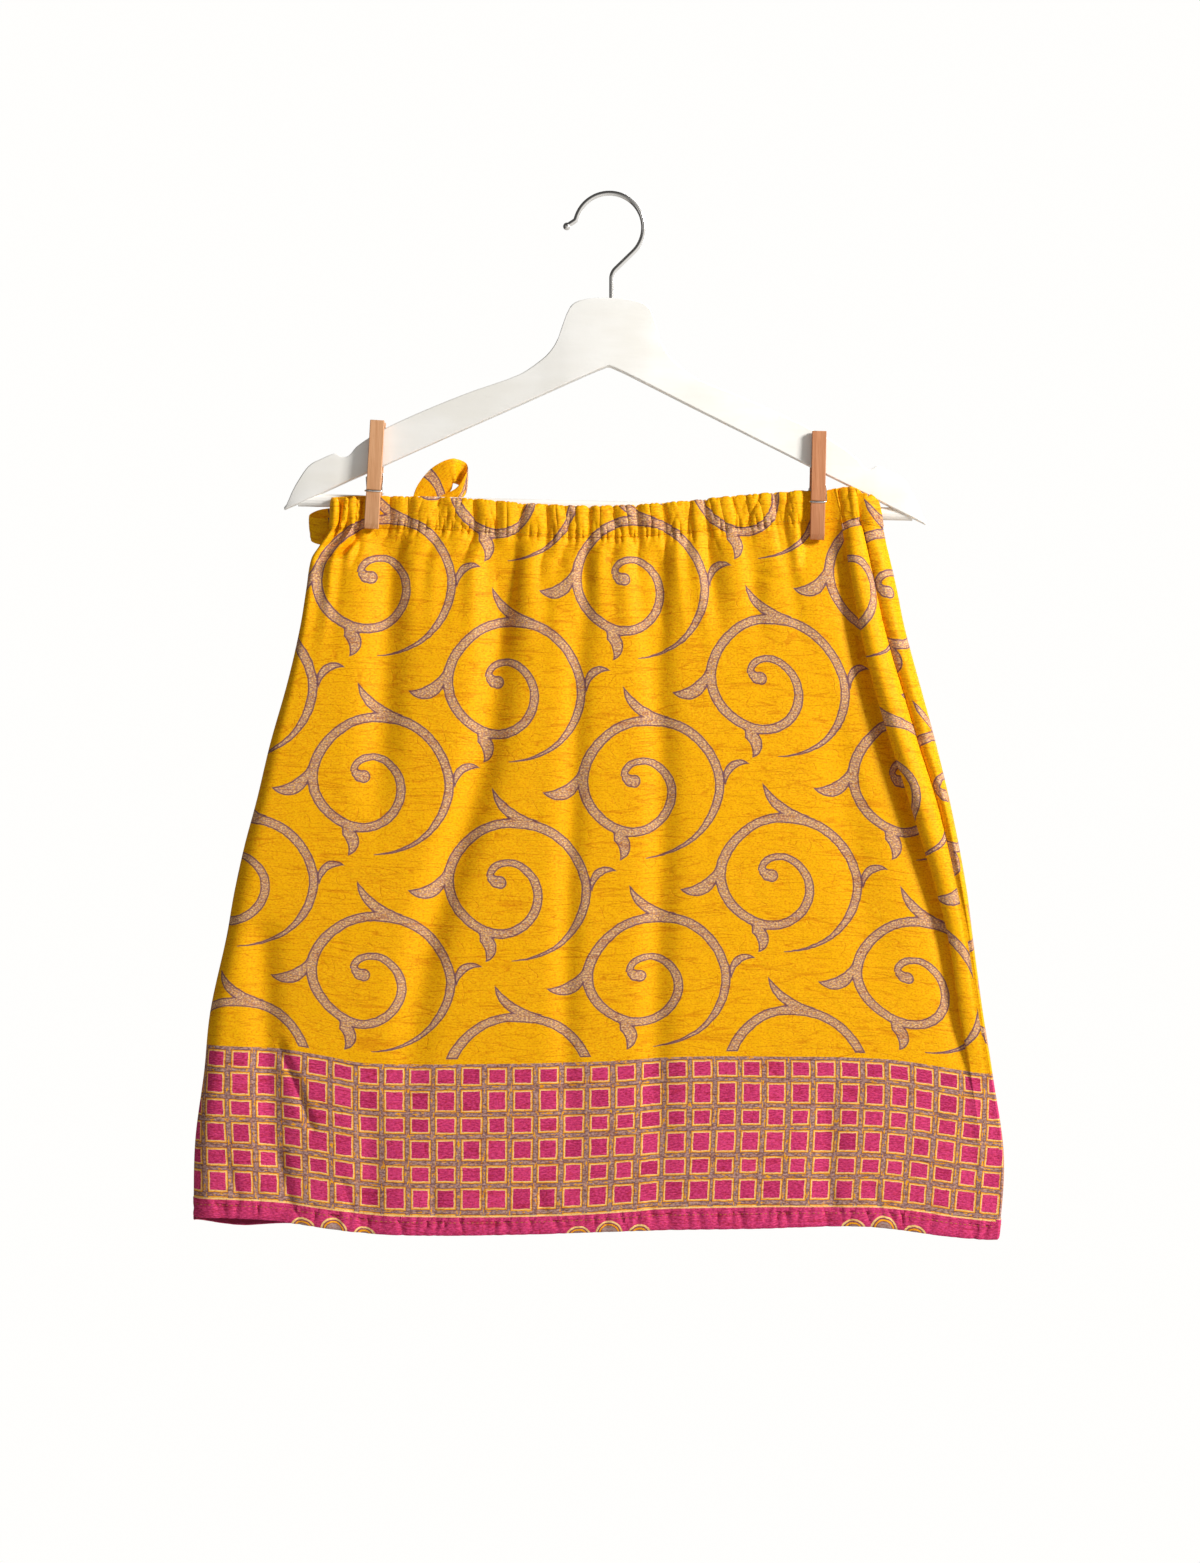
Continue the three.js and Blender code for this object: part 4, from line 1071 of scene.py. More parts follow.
# %% Casings
CASING_SECTION = table("share out", [
    (1.0, 0.35), (0.95, 0.55), (0.88, 0.75), (0.8, 0.9), (0.7, 1.0), (0.6, 1.05), (0.5, 1.05),
    (0.4, 1.05), (0.3, 1.0), (0.2, 0.9), (0.12, 0.75), (0.05, 0.45), (0.01, 0.1),
    (0.0, -0.3), (0.02, -0.8), (0.08, -1.05), (0.2, -1.15), (0.4, -1.15), (0.6, -1.1),
])
CASING_COLUMNS = {
    "front": columns_of(10, 620, 44),
    "back_over": columns_of(32, 380),
    "back_under": backwards(columns_of(10, 210)),
}
CREASES_READ, PUCKERS_READ = 206.0, 222.0


def make_casing(layer):
    surface, _, side = LAYERS[layer]
    columns = CASING_COLUMNS[layer]
    share, out = CASING_SECTION["share"][:, None], CASING_SECTION["out"][:, None]
    drop = np.broadcast_to(mix(WAIST_DROP, STITCH_DROP, share), (len(share), len(columns[0])))
    x, y, across, along = surface(columns, drop)
    creases = total(CREASES, one_crease, across, CREASES_READ)
    puckers = total(PUCKERS, one_pucker, across, PUCKERS_READ)
    notch = 0.5 * (creases + puckers - 1)
    real = settle(x, drop, side) + notch * (1 - smooth(share, 0, 0.5))
    x, y = pushed(x, y, out)
    return thicken(grid_mesh(layer + "_casing", x, y, real, *print_place(layer, x, along, drop, real)))


casings = {layer: make_casing(layer) for layer in LAYERS}
print("faces", {layer: len(casing.data.polygons) for layer, casing in casings.items()})

# %% [markdown]
# ## Hem bands
# The hem is a pink edge of the same printed cloth, turned up inside and stitched. Its section
# is carried along the lower edge: down the outside, round the bottom and up the inside. Small
# puckers from the stitching keep it from looking like a ribbon.

# %% Hem bands
HEM_SECTION = table("share out", [
    (-0.03, 0.25), (0.03, 0.5), (0.14, 0.6), (0.26, 0.62), (0.4, 0.66), (0.55, 0.7), (0.7, 0.7),
    (0.85, 0.65), (0.95, 0.45), (1.0, 0.05), (0.98, -0.4), (0.9, -0.6), (0.7, -0.7), (0.4, -0.75),
    (0.15, -0.7),
])
hem_draw = np.random.default_rng(21)
hem_x = np.arange(-276, 262, 7.5)
HEM_PUCKERS = {
    "x": hem_x + hem_draw.uniform(-2.5, 2.5, len(hem_x)),
    "depth": hem_draw.uniform(0.5, 2.1, len(hem_x)),
    "width": hem_draw.uniform(0.8, 2.4, len(hem_x)),
    "lean": hem_draw.uniform(-4, 4, len(hem_x)),
}
HEM_PRINT = SCROLL_PITCH[0] / 183.3


def one_hem_pucker(across, level, x, depth, width, lean):
    return depth * bell(across - x - lean * level, width) * bell(level - 0.3, 0.55)


def make_hem(layer):
    surface, columns, side = LAYERS[layer]
    out = HEM_SECTION["out"][:, None]
    level = HEM_SECTION["share"][:, None] + np.zeros(len(columns[0]))
    drop = hem_drop(layer, level)
    x, y, _, _ = surface(columns, drop)
    real = settle(x, drop, side)
    x, y = pushed(x, y, out - total(HEM_PUCKERS, one_hem_pucker, x, level))
    real = real - 0.5 * total(HEM_PUCKERS, one_hem_pucker, x, level) * smooth(level, 0.5, 1)
    u = (x - 2) * HEM_PRINT * (1 if side == "front" else -1)
    # The inside half of the band is mapped past the band's height, where the print paints it with darker
    # shade.
    up = -BORDER_HEIGHT - HEM_HEIGHT * np.where(out < 0, 2 - level, level)
    return thicken(grid_mesh(layer + "_hem", x, y, real, u, up))


hems = {layer: make_hem(layer) for layer in LAYERS}
print("faces", {layer: len(hem.data.polygons) for layer, hem in hems.items()})

# %% [markdown]
# ## Stitches
# A row of thread holds the casing down, and another holds the hem. Each stitch is a slim
# lozenge with six corners, laid on the cloth and turned along it. The rows follow the same
# surfaces as the sheets, so every stitch rides over its own bit of pucker.

# %% Rows of stitches
CASING_STITCH = {"pitch": 3.0, "long": 2.2, "half": 0.3}
HEM_STITCH = {"pitch": 3.2, "long": 2.3, "half": 0.28}
HEM_STITCH_SHARE = 0.3
STITCH_FACES = [
    (0, 2, 3), (0, 3, 4), (0, 4, 5), (0, 5, 2), (1, 3, 2), (1, 4, 3), (1, 5, 4), (1, 2, 5),
]


def casing_row(layer):
    columns = CASING_COLUMNS[layer]
    drop = np.full((1, len(columns[0])), STITCH_DROP - 1.5)
    x, y, _, _ = LAYERS[layer][0](columns, drop)
    real = settle(x, drop, LAYERS[layer][2])
    return *pushed(x, y, 0.6 + CLOTH / 2), real


def hem_row(layer):
    surface, columns, side = LAYERS[layer]
    drop = hem_drop(layer, HEM_STITCH_SHARE)
    x, y, _, _ = surface(columns, drop)
    real = settle(x, drop, side)
    puckers = total(HEM_PUCKERS, one_hem_pucker, x, HEM_STITCH_SHARE)
    return *pushed(x, y, 0.64 + CLOTH / 2 - puckers), real


def lozenges(row, pitch, long, half):
    """Corners and faces of a row of stitches along a line of points."""
    line = np.concatenate(row).T
    run = np.concatenate([[0], np.cumsum(np.linalg.norm(np.diff(line, axis=0), axis=1))])
    starts = np.arange(pitch, run[-1] - pitch, pitch)

    def point_at(place):
        return np.stack([np.interp(place, run, line[:, k]) for k in range(3)], -1)

    first, middle, last = (point_at(starts + share * long) for share in (0, 0.5, 1))
    ahead_x, ahead_y, _ = (last - first).T
    out = half * np.stack([ahead_y, -ahead_x, 0 * ahead_x], -1) / np.hypot(ahead_x, ahead_y)[:, None]
    down = np.array([0, 0, half])
    corners = np.stack([first, last, middle + out, middle + down, middle - out, middle - down], 1)
    faces = np.array(STITCH_FACES) + 6 * np.arange(len(starts))[:, None, None]
    return corners.reshape(-1, 3), faces.reshape(-1, 3)


print("a stitch has", len(STITCH_FACES), "faces, and one at the waist is", CASING_STITCH["long"], "mm long")

# %% [markdown]
# ## From rows to stitches
# All stitches of a layer are one mesh, with gold thread at the waist and pink at the hem. The
# two helpers here start and end a stay in edit mode, and the straps and the hard pieces use
# them too. Faces made by hand may look inwards, so their normals are recalculated.

# %% Stitches
def begin(obj):
    select_only(obj)
    bpy.ops.object.mode_set(mode="EDIT")
    bpy.ops.mesh.select_mode(type="VERT")
    bpy.ops.mesh.select_all(action="SELECT")


def end():
    bpy.ops.mesh.select_all(action="SELECT")
    bpy.ops.mesh.normals_make_consistent(inside=False)
    bpy.ops.object.mode_set(mode="OBJECT")


def make_stitches(layer):
    upper, upper_faces = lozenges(casing_row(layer), **CASING_STITCH)
    lower, lower_faces = lozenges(hem_row(layer), **HEM_STITCH)
    points = np.concatenate([upper, lower]) * (MM, MM, -MM)
    faces = np.concatenate([upper_faces, lower_faces + len(upper)])
    mesh = bpy.data.meshes.new(layer + "_stitches")
    mesh.from_pydata(points.tolist(), [], faces.tolist())
    thread_kind = np.repeat([0, 1], [len(upper_faces), len(lower_faces)]).astype(np.int32)
    mesh.polygons.foreach_set("material_index", thread_kind)
    made = bpy.data.objects.new(layer + "_stitches", mesh)
    bpy.context.collection.objects.link(made)
    begin(made)
    end()
    print(made.name, len(faces) // len(STITCH_FACES), "stitches")
    return made


stitches = {layer: make_stitches(layer) for layer in LAYERS}

# %% [markdown]
# ## Straps and their knot
# The tie is a flat strap of the same cloth, folded double. A strap is a soft flat tube: its
# section is a long oval, carried along a curved path and turned as the strap turns. Fine
# wrinkles run along it. Two loops stand out from one knot and two ends hang behind.

# %% Straps
STRAP_HALF_THICK = 0.85
strap_draw = np.random.default_rng(33)
STRAP_WRINKLES = strap_draw.uniform((0.7, 0, -0.5), (2.2, 6.28, 0.5), (9, 3))


def finish_mesh(obj, name, angle=40):
    """Leaves edit mode, and smooths every edge that bends by less than an angle."""
    end()
    bpy.ops.object.shade_smooth_by_angle(angle=math.radians(angle))
    obj.name = name
    print(name, len(obj.data.polygons), "faces")
    return obj


def tube_mesh(name, points, u, v):
    """A closed tube through rings of points, with its two ends filled."""
    obj = grid_mesh(name, points[..., 0], points[..., 1], -points[..., 2], u, v)
    begin(obj)
    bpy.ops.mesh.remove_doubles(threshold=0.01 * MM)
    bpy.ops.mesh.fill_holes(sides=0)
    return finish_mesh(obj, name, 60)


def strap(name, rows, print_start, turn=0.0):
    """Rows hold a point of the strap's middle, x y drop, and the vector across it."""
    rows = np.array(rows, float) * (1, 1, -1, 1, 1, 1)
    at = np.linspace(0, 1, 30 * (len(rows) - 1))
    keys = np.broadcast_to(rows, (len(at), *rows.shape))
    path, across = curve_through(keys[..., :3], at), curve_through(keys[..., 3:], at)
    face = np.cross(across, np.gradient(path, axis=0))
    face /= np.linalg.norm(face, axis=1, keepdims=True)
    along = np.concatenate([[0], np.cumsum(np.linalg.norm(np.diff(path, axis=0), axis=1))])[:, None]
    angle = np.linspace(0, 2 * math.pi, 37)[None]
    side = np.sign(np.cos(angle)) * np.abs(np.cos(angle)) ** 0.7 / 2
    wrinkle = 0
    for pitch, phase, middle in STRAP_WRINKLES:
        swing = np.sin(along / (6 * pitch) + phase)
        wrinkle = wrinkle + 0.16 * bell(side - middle - 0.05 * swing, 0.05) * (0.6 + 0.4 * swing)
    offset = STRAP_HALF_THICK * np.sin(angle) - wrinkle * np.sign(np.sin(angle))
    points = path[:, None] + across[:, None] * side[..., None] + face[:, None] * offset[..., None]
    reach = np.linalg.norm(across, axis=1)[:, None] * side
    u = print_start[0] + along * math.cos(turn) - reach * math.sin(turn)
    v = print_start[1] + along * math.sin(turn) + reach * math.cos(turn)
    print(name, "is", round(float(along[-1, 0])), "mm long")
    return tube_mesh(name, points, u, v)


side_loop = strap("tie_side", [
    (-139, 8.2, 223, 0, 0, 15), (-160, 7.3, 223.2, 0, 0, 18), (-183, 6.9, 224.3, 0, -0.5, 17.8),
    (-194, 7.4, 224.9, -0.5, -1.5, 17.5), (-199.4, 10.3, 222.4, -1, -2, 17),
    (-194, 13.3, 219, 0, -1, 17.5), (-175, 12.5, 217.6, 0, 0, 18), (-139, 11.4, 221, 0, 0, 15),
], (14, 42))
top_loop = strap("tie_top", [
    (-124, 16.5, 215, 17, 0, -8), (-119.5, 18, 200, 18, 0, -10), (-112, 18.2, 189.4, 15, 1, -13),
    (-106.5, 17.6, 184.2, 6, 3, -15), (-102.6, 18.2, 183.4, 1, 2, -17), (-101, 21, 183.6, 0, 2, -17),
    (-99, 24.4, 184, -1, 1, -17), (-95.8, 24.9, 185.6, -1, 0, -17), (-94.2, 21.6, 188.6, -1, -1, -17),
    (-94.6, 17.2, 191.6, -2, 0, -17), (-98, 14.7, 196.5, -4, 0, -17), (-104.5, 14.5, 203.4, -6, 0, -16),
    (-114, 14.8, 208.6, -5, 0, -16), (-126, 14.6, 216, -4, 0, -14),
], (-1, 60))


def tail_rows(middle, length):
    rows = []
    for share in np.linspace(0, 1, 9):
        drop = 236 + length * share
        x = middle + 5 * math.sin(2.4 * share)
        across = np.array([x - 9, x, x + 9])
        cloth = back_y(across, drop) + back_gathers(across, drop, section(drop)["flare"])
        rows.append((x, float(cloth.max()) + 1.9, drop, 18, 0, 0))
    return rows


tails = [
    strap("tie_long", tail_rows(-138, 152), (-30, 250), turn=-1.5),
    strap("tie_short", tail_rows(-116, 118), (62, 230), turn=-1.5),
]

# %% [markdown]
# ## The knot
# The knot is a small tight bundle behind the waist. An oval closed form carries one broad wrap
# that crosses it on the slant, and creases that run in under the wrap from both ends.

# %% Knot
KNOT = {"x": -132, "y": 10, "drop": 223, "wide": 8.4, "deep": 3.7, "tall": 10.3}
level = np.linspace(-1, 1, 41)[:, None]
angle = np.linspace(0, 2 * math.pi, 65)[None]
swell = np.sqrt(1 - 0.75 * level**2)
slant = level + 0.22 * np.cos(angle)
wrap_ridge = 0.1 * (1 - smooth(np.abs(slant), 0.36, 0.46))
lines = 0.05 * np.cos(9 * angle + 2 * level) * smooth(np.abs(slant), 0.4, 0.6)
out = swell * (0.9 + wrap_ridge + lines)
knot_points = np.stack(np.broadcast_arrays(
    KNOT["x"] + KNOT["wide"] * out * np.cos(angle),
    KNOT["y"] + KNOT["deep"] * out * np.sin(angle),
    -KNOT["drop"] + KNOT["tall"] * level,
), -1)
knot_print = np.broadcast_arrays(20 + 8 * angle, 45 + 10 * level)
knot = tube_mesh("tie_bundle", knot_points, *knot_print)

# %% [markdown]
# ## Noise and colours
# Two more helpers for the print: noise that can be stretched, because cloth is not the same in
# both directions, and a mix of two colours. Colours are written as hex codes, as a picture
# editor shows them, and are turned into the linear light that a shader works in.

# %% Noise and colours
def noise(x, y, wide, tall, detail=2.0, seed=0.0):
    """Soft noise from 0 to 1, with blots about so many millimetres wide and tall."""
    place = add_node(x.tree, "CombineXYZ", {"X": x / wide, "Y": y / tall, "Z": seed})
    inputs = {"Vector": place.outputs["Vector"], "Scale": 1.0, "Detail": detail, "Roughness": 0.55}
    return Signal(add_node(x.tree, "TexNoise", inputs).outputs["Fac"])


def blend(share, first, second, mode="MIX"):
    """Mixes two colours, each a hex code or a colour from before."""
    tree = share.tree if isinstance(share, Signal) else first.id_data
    first, second = (rgb(c) if isinstance(c, str) else c for c in (first, second))
    inputs = {"Factor": share, 6: first, 7: second}
    return add_node(tree, "Mix", inputs, data_type="RGBA", blend_type=mode).outputs[2]


def rgb(code):
    """A colour from its hex code, as the linear light that a shader works in."""
    parts = [int(code[i:i + 2], 16) / 255 for i in (0, 2, 4)]
    return (*[c / 12.92 if c <= 0.04045 else ((c + 0.055) / 1.055) ** 2.4 for c in parts], 1.0)


print("yellow as light", [round(c, 3) for c in rgb("f1b00c")])

# %% [markdown]
# ## The scroll print
# One scroll is a spiral of two turns with four leaves. In polar form a turn is easy: at each
# angle the stroke has a middle radius and a half width, both read off drawn curves. A leaf is
# a lune, the part of one circle that another circle leaves bare; one leaf is also cut off at
# its left. Every part gives its signed distance, below nought inside, and a soft minimum
# joins them. Rows of scrolls are half a pitch apart, so the scroll is laid on two lattices.

# %% Scroll
SCROLL_MIDDLE = (7.0, 5.0)
FIRST_EYE_UP = 60.0
START_ANGLE = 159.0
INNER_RADIUS = [
    (0, 7.4), (40, 10.2), (84, 13.4), (104, 15.8), (137, 20.2), (165, 25.2), (181.7, 27.9),
    (202.7, 30.6), (223.6, 32.7), (246.6, 34), (289, 34.1), (311.7, 34.9), (332, 35.6), (360, 35.2),
]
OUTER_RADIUS = [
    (0, 35.2), (30, 34.9), (51.6, 36.7), (73.7, 39.4), (89.2, 41.8), (107.2, 46.6),
    (119.6, 50.0), (138, 54.6), (151.5, 57.6), (163.2, 59.4), (176.8, 59.4), (190, 58.5),
    (203.3, 57.3), (218.5, 55.1), (240.6, 52.6), (360, 48),
]
INNER_HALF_WIDTH = [
    (0, 2.9), (40, 2.7), (90, 2.6), (130, 3.0), (165, 3.4), (240, 3.2), (340, 3.7), (360, 3.7),
]
OUTER_HALF_WIDTH = [
    (0, 3.7), (60, 3.2), (95, 3.5), (120, 3.5), (160, 3.3), (176, 3.1), (200, 2.0), (240, 0.3),
    (250, 0), (360, 0),
]
OUTER_ENDS = (241, 246)
EYE_BLOBS = [(0, 0, 4.3), (-3.2, 0.4, 4.0), (-5.6, 2.4, 3.2)]
UNCUT = -99
LEAVES = [  # x, y and radius of its circle and of the one that cuts it, and its left end
    ((17.8, 62.6, 22.7), (43.4, 99.7, 60.8), UNCUT),
    ((-52.4, 2.1, 14.8), (-67.3, 29.0, 36.5), UNCUT),
    ((-13.0, -43.4, 9.6), (-24.6, -49.5, 13.9), -15),
    ((73.0, 0.0, 11.0), (80.5, -9.6, 17.6), UNCUT),
]


def off_circle(x, y, centre_x, centre_y, radius):
    """Distance from a circle, below nought inside it."""
    across, up = x - centre_x, y - centre_y
    return (across * across + up * up).math("SQRT") - radius


def scroll_distance(u, up, start_u, start_up):
    """Signed distance to the nearest scroll of one lattice, in millimetres."""
    local = []
    for value, start, pitch, middle in zip((u, up), (start_u, start_up), SCROLL_PITCH, SCROLL_MIDDLE):
        local.append((value - start).math("WRAP", middle + pitch / 2, middle - pitch / 2))
    x, y = local
    radius = off_circle(x, y, 0, 0, 0)
    angle = y.math("ARCTAN2", x).math("DEGREES")
    turn = (START_ANGLE - angle).math("WRAP", 360.0, 0.0) / 360

    def stroke(radii, halves):
        middle = turn.drawn(64, [(a / 360, r) for a, r in radii])
        half = turn.drawn(4, [(a / 360, w) for a, w in halves])
        return abs(radius - middle) - half

    distance = stroke(INNER_RADIUS, INNER_HALF_WIDTH)
    past_end = turn.step(OUTER_ENDS[0] / 360, OUTER_ENDS[1] / 360) * 5
    distance = distance.math("MINIMUM", stroke(OUTER_RADIUS, OUTER_HALF_WIDTH) + past_end)
    for blob in EYE_BLOBS:
        distance = distance.math("SMOOTH_MIN", off_circle(x, y, *blob), 1.2)
    for inside, outside, left_end in LEAVES:
        leaf = off_circle(x, y, *inside).math("MAXIMUM", off_circle(x, y, *outside) * -1)
        distance = distance.math("SMOOTH_MIN", leaf.math("MAXIMUM", left_end - x), 2.4)
    return distance, radius


print("a scroll of", len(LEAVES), "leaves, repeated every", SCROLL_PITCH, "mm")

# %% [markdown]
# ## Colours of the scrolls
# The "print" coordinates are the flat cloth in millimetres: across it, and up from the line
# where the border starts. Above the line lie the scrolls. Their fill is stippled in peach and
# olive with a darker edge, and the yellow around them is a little uneven. Close to the line,
# the scrolls of the second lattice keep only their outer turns.

# %% Colours of the scrolls
YELLOW, YELLOW_DEEP, YELLOW_LIGHT = "fab600", "f2a400", "ffc20a"
MAUVE, MAUVE_DARK, PEACH, OLIVE = "b68974", "7a5660", "f2c484", "dca440"
SECOND_EYE_UP = FIRST_EYE_UP - 1.5 + SCROLL_PITCH[1] / 2
INNER_TURNS, BARE_UP, FIELD_FOOT = 30, 14, 3.4


def scroll_colours(u, up, x, y, grain):
    odd, _ = scroll_distance(x, y, 0.0, FIRST_EYE_UP)
    even, radius = scroll_distance(x, y, COLUMN_PITCH, SECOND_EYE_UP)
    even = even.math("MAXIMUM", (INNER_TURNS - radius).math("MINIMUM", BARE_UP - up))
    distance = odd.math("MINIMUM", even).math("MAXIMUM", FIELD_FOOT - up)
    stipple = noise(u, up, 1.5, 1.0, seed=3.0)
    ground = blend(grain.step(0.3, 0.7), YELLOW_DEEP, YELLOW_LIGHT)
    ground = blend(noise(u, up, 30, 22, seed=8.0).step(0.3, 0.7), ground, YELLOW)
    fill = blend(stipple.step(0.47, 0.6), MAUVE, PEACH)
    fill = blend(noise(u, up, 1.5, 1.1, seed=5.0).step(0.58, 0.66), fill, OLIVE)
    fill = blend(distance.step(-1.25, -0.55), fill, MAUVE_DARK)
    return blend(distance.step(0.3, -0.3), ground, fill)


print("the second lattice has its first eye", SECOND_EYE_UP, "mm up")

# %% [markdown]
# ## Colours of the border
# Under the line lie six rows of squares in a mauve ground with short orange dashes. A square
# is pink, in a pale frame with an orange line and a dark rim. Every second row is taller. The
# squares are all a little different, because noise is read once for each cell of the lattice.

# %% Colours of the border
PINK_LIGHT, PINK_DEEP, FRAME_PALE, FRAME_ORANGE = "e84a82", "b02a5c", "fcd488", "f8a820"
GROUND_DARK, GROUND_PALE, DASH_ORANGE = "86625e", "c29a90", "f0a824"
SQUARE_START = (-11.56, 8.1)
SQUARE_HALF_WIDE, SQUARE_HALF_LOW, SQUARE_HALF_TALL = 5.5, 4.5, 5.9


def border_colours(u, below, x, y, grain):
    across = (x - SQUARE_START[0] + SQUARE_PITCH[0] / 2) / SQUARE_PITCH[0]
    down = (y - SQUARE_START[1] + SQUARE_PITCH[1] / 2) / SQUARE_PITCH[1]
    cell_x = abs((across.math("FRACT") - 0.5) * SQUARE_PITCH[0])
    cell_y = abs((down.math("FRACT") - 0.5) * SQUARE_PITCH[1])
    cell = (across.math("FLOOR"), down.math("FLOOR"))
    wider, taller, paler = (noise(*cell, 0.7, 0.9, 0.0, seed) - 0.5 for seed in (64.0, 67.0, 70.0))
    tall = cell[1].math("MODULO", 2.0) * (SQUARE_HALF_TALL - SQUARE_HALF_LOW) + SQUARE_HALF_LOW
    inside_x = cell_x - (wider * 2.6 + SQUARE_HALF_WIDE)
    distance = inside_x.math("MAXIMUM", cell_y - (tall + taller * 2))
    ground = blend(noise(u, below, 2.4, 1.3, seed=11.0).step(0.35, 0.65), GROUND_DARK, GROUND_PALE)
    lying = (cell_x - SQUARE_HALF_WIDE).step(1.5, 0.5)
    dashes_down = noise(x, y, 1.4, 5.0, seed=14.0).step(0.58, 0.61)
    dashes_across = noise(x, y, 5.0, 1.4, seed=17.0).step(0.58, 0.61)
    ground = blend(lying * dashes_across + (1 - lying) * dashes_down, ground, DASH_ORANGE)
    pink = blend((grain + paler * 0.3).step(0.3, 0.7), PINK_DEEP, PINK_LIGHT)
    square = blend(distance.step(0.5, 0.8), FRAME_PALE, FRAME_ORANGE)
    square = blend(distance.step(-0.15, 0.15), pink, square)
    ground = blend(distance.step(1.9, 1.7), ground, MAUVE_DARK)
    return blend(distance.step(1.2, 1.5), square, ground)


print("squares repeat every", [round(pitch, 1) for pitch in SQUARE_PITCH], "mm")

# %% [markdown]
# ## Colours of the hem
# The border ends in a pale line, and the pink under it is turned up as the hem. Groups of
# three half rings stand along its lower edge. Each ring has four bands of colour round a
# plain middle. Where the cloth has turned inside, the pink is painted darker: painted shade
# for the shadow inside the hem.

# %% Colours of the hem
# Painted shade: the darker pink of the hem's turned-up inside.
PINK_PAINTED_SHADE = "8e2446"
RING_MIDDLE, RING_DARK, RING_LINE = "ae8f88", "7d4a5a", "8a4a5a"
RING_GROUP = [(-21, 9.0, 5.0), (0, 9.2, 7.9), (21, 9.0, 4.3)]  # place, radius and height


def hem_colours(x, below_band, grain):
    """The pink edge: below_band is how far down the hem band a point is, in millimetres."""
    pink = blend(grain.step(0.3, 0.7), PINK_DEEP, PINK_LIGHT)
    for place, radius, height in RING_GROUP:
        cell = (x - place).math("WRAP", COLUMN_PITCH, -COLUMN_PITCH)
        ring = off_circle(cell, below_band, 0, HEM_HEIGHT + radius - height, radius)
        fill = blend(ring.step(-4.0, -3.6), RING_MIDDLE, RING_DARK)
        fill = blend(ring.step(-3.5, -3.2), fill, FRAME_ORANGE)
        fill = blend(ring.step(-2.3, -2.0), fill, RING_LINE)
        fill = blend(ring.step(-1.4, -1.1), fill, FRAME_PALE)
        pink = blend(ring.step(0.2, -0.2), pink, fill)
    # Past the band's height lies the turned-up inside, painted darker as shade.
    return blend(below_band.step(HEM_HEIGHT + 0.2, HEM_HEIGHT + 0.8), pink, PINK_PAINTED_SHADE)


print(len(RING_GROUP), "half rings in a group")

# %% [markdown]
# ## The printed cloth
# The outlines are moved a little by noise, as block printing would, and the three parts of the
# print are joined at the lines between them. The cloth adds crepe grain, fine level slubs,
# specks and hairline crinkles, in colour and in height; the crinkles' colour is painted shade,
# darker along each crease. The reverse is the same print, faded towards a pale straw colour.

# %% Printed cloth
# Slubs and specks are tints of the yarn; the crinkle tint is painted shade in the creases.
SLUB_TINT, SPECK_TINT, CRINKLE_SHADE_TINT = "e09850", "d89040", "c88038"
REVERSE_TINT, REVERSE_FADE = "e8d2a0", 0.45
PALE_LINE = 1.1
CRINKLES = table("wide tall thin seed", [(52, 5, 0.032, 21), (90, 11, 0.02, 24), (24, 26, 0.007, 27)])


def crinkles(u, up):
    """Hairline creases, mostly level, where stretched noise passes its middle value."""
    deepest = 0.0
    for row in rows_of(CRINKLES):
        line = abs(noise(u, up, row["wide"], row["tall"], 1.0, row["seed"]) - 0.5).step(row["thin"], 0.0)
        patch = noise(u, up, 32, 9, 1.0, row["seed"] + 1).step(0.4, 0.6)
        deepest = (line * patch).math("MAXIMUM", deepest)
    return deepest


def cloth_material(name, reverse=False):
    material = bpy.data.materials.new(name)
    material.use_nodes = True
    tree = material.node_tree
    shader = tree.nodes["Principled BSDF"]
    lay = tree.nodes.new("ShaderNodeUVMap")
    lay.uv_map = "print"
    split = add_node(tree, "SeparateXYZ", {"Vector": lay.outputs["UV"]})
    u, up = (Signal(split.outputs[axis]) * 1000 for axis in "XY")
    below = up * -1
    wobble = [(noise(u, up, 5, 5, 1.0, seed) - 0.5) * 0.9 for seed in (31.0, 34.0)]
    x, y = u + wobble[0], up + wobble[1]
    grain = noise(u, up, 2.6, 0.9, 3.0, 1.0)

    scrolls = scroll_colours(u, up, x, y, grain)
    border = border_colours(u, below, x, y * -1, grain)
    hem = hem_colours(x, y * -1 - BORDER_HEIGHT, grain)
    line_end = below.step(BORDER_HEIGHT - 0.2, BORDER_HEIGHT + 0.1)
    line_start = below.step(BORDER_HEIGHT - PALE_LINE - 0.1, BORDER_HEIGHT - PALE_LINE + 0.1)
    edge = blend(line_end, blend(line_start, border, FRAME_PALE), hem)
    colour = blend(up.step(0.15, -0.15), scrolls, edge)

    lines = crinkles(u, up)
    slubs = noise(u, up, 7.0, 0.8, 2.0, 41.0)
    specks = noise(u, up, 1.5, 1.0, 1.0, 44.0)
    rumple = noise(u, up, 13, 8, 2.0, 47.0)
    colour = blend(slubs.step(0.5, 0.75) * 0.3, colour, SLUB_TINT, "MULTIPLY")
    colour = blend(specks.step(0.48, 0.66) * 0.45, colour, SPECK_TINT, "MULTIPLY")
    # Painted shade: the colour is darkened along the hairline crinkles.
    colour = blend(lines * 0.38, colour, CRINKLE_SHADE_TINT, "MULTIPLY")
    if reverse:
        colour = blend(REVERSE_FADE, colour, REVERSE_TINT)
    height = grain * 0.6 + slubs * 0.4 + specks * 0.3 + rumple * 2.8 - lines * 0.6
    bump = add_node(tree, "Bump", {"Height": height, "Strength": 0.5, "Distance": 0.4 * MM})
    tree.links.new(colour, shader.inputs["Base Color"])
    tree.links.new(bump.outputs["Normal"], shader.inputs["Normal"])
    shader.inputs["Roughness"].default_value = 0.6
    shader.inputs["Specular IOR Level"].default_value = 0.1
    return material


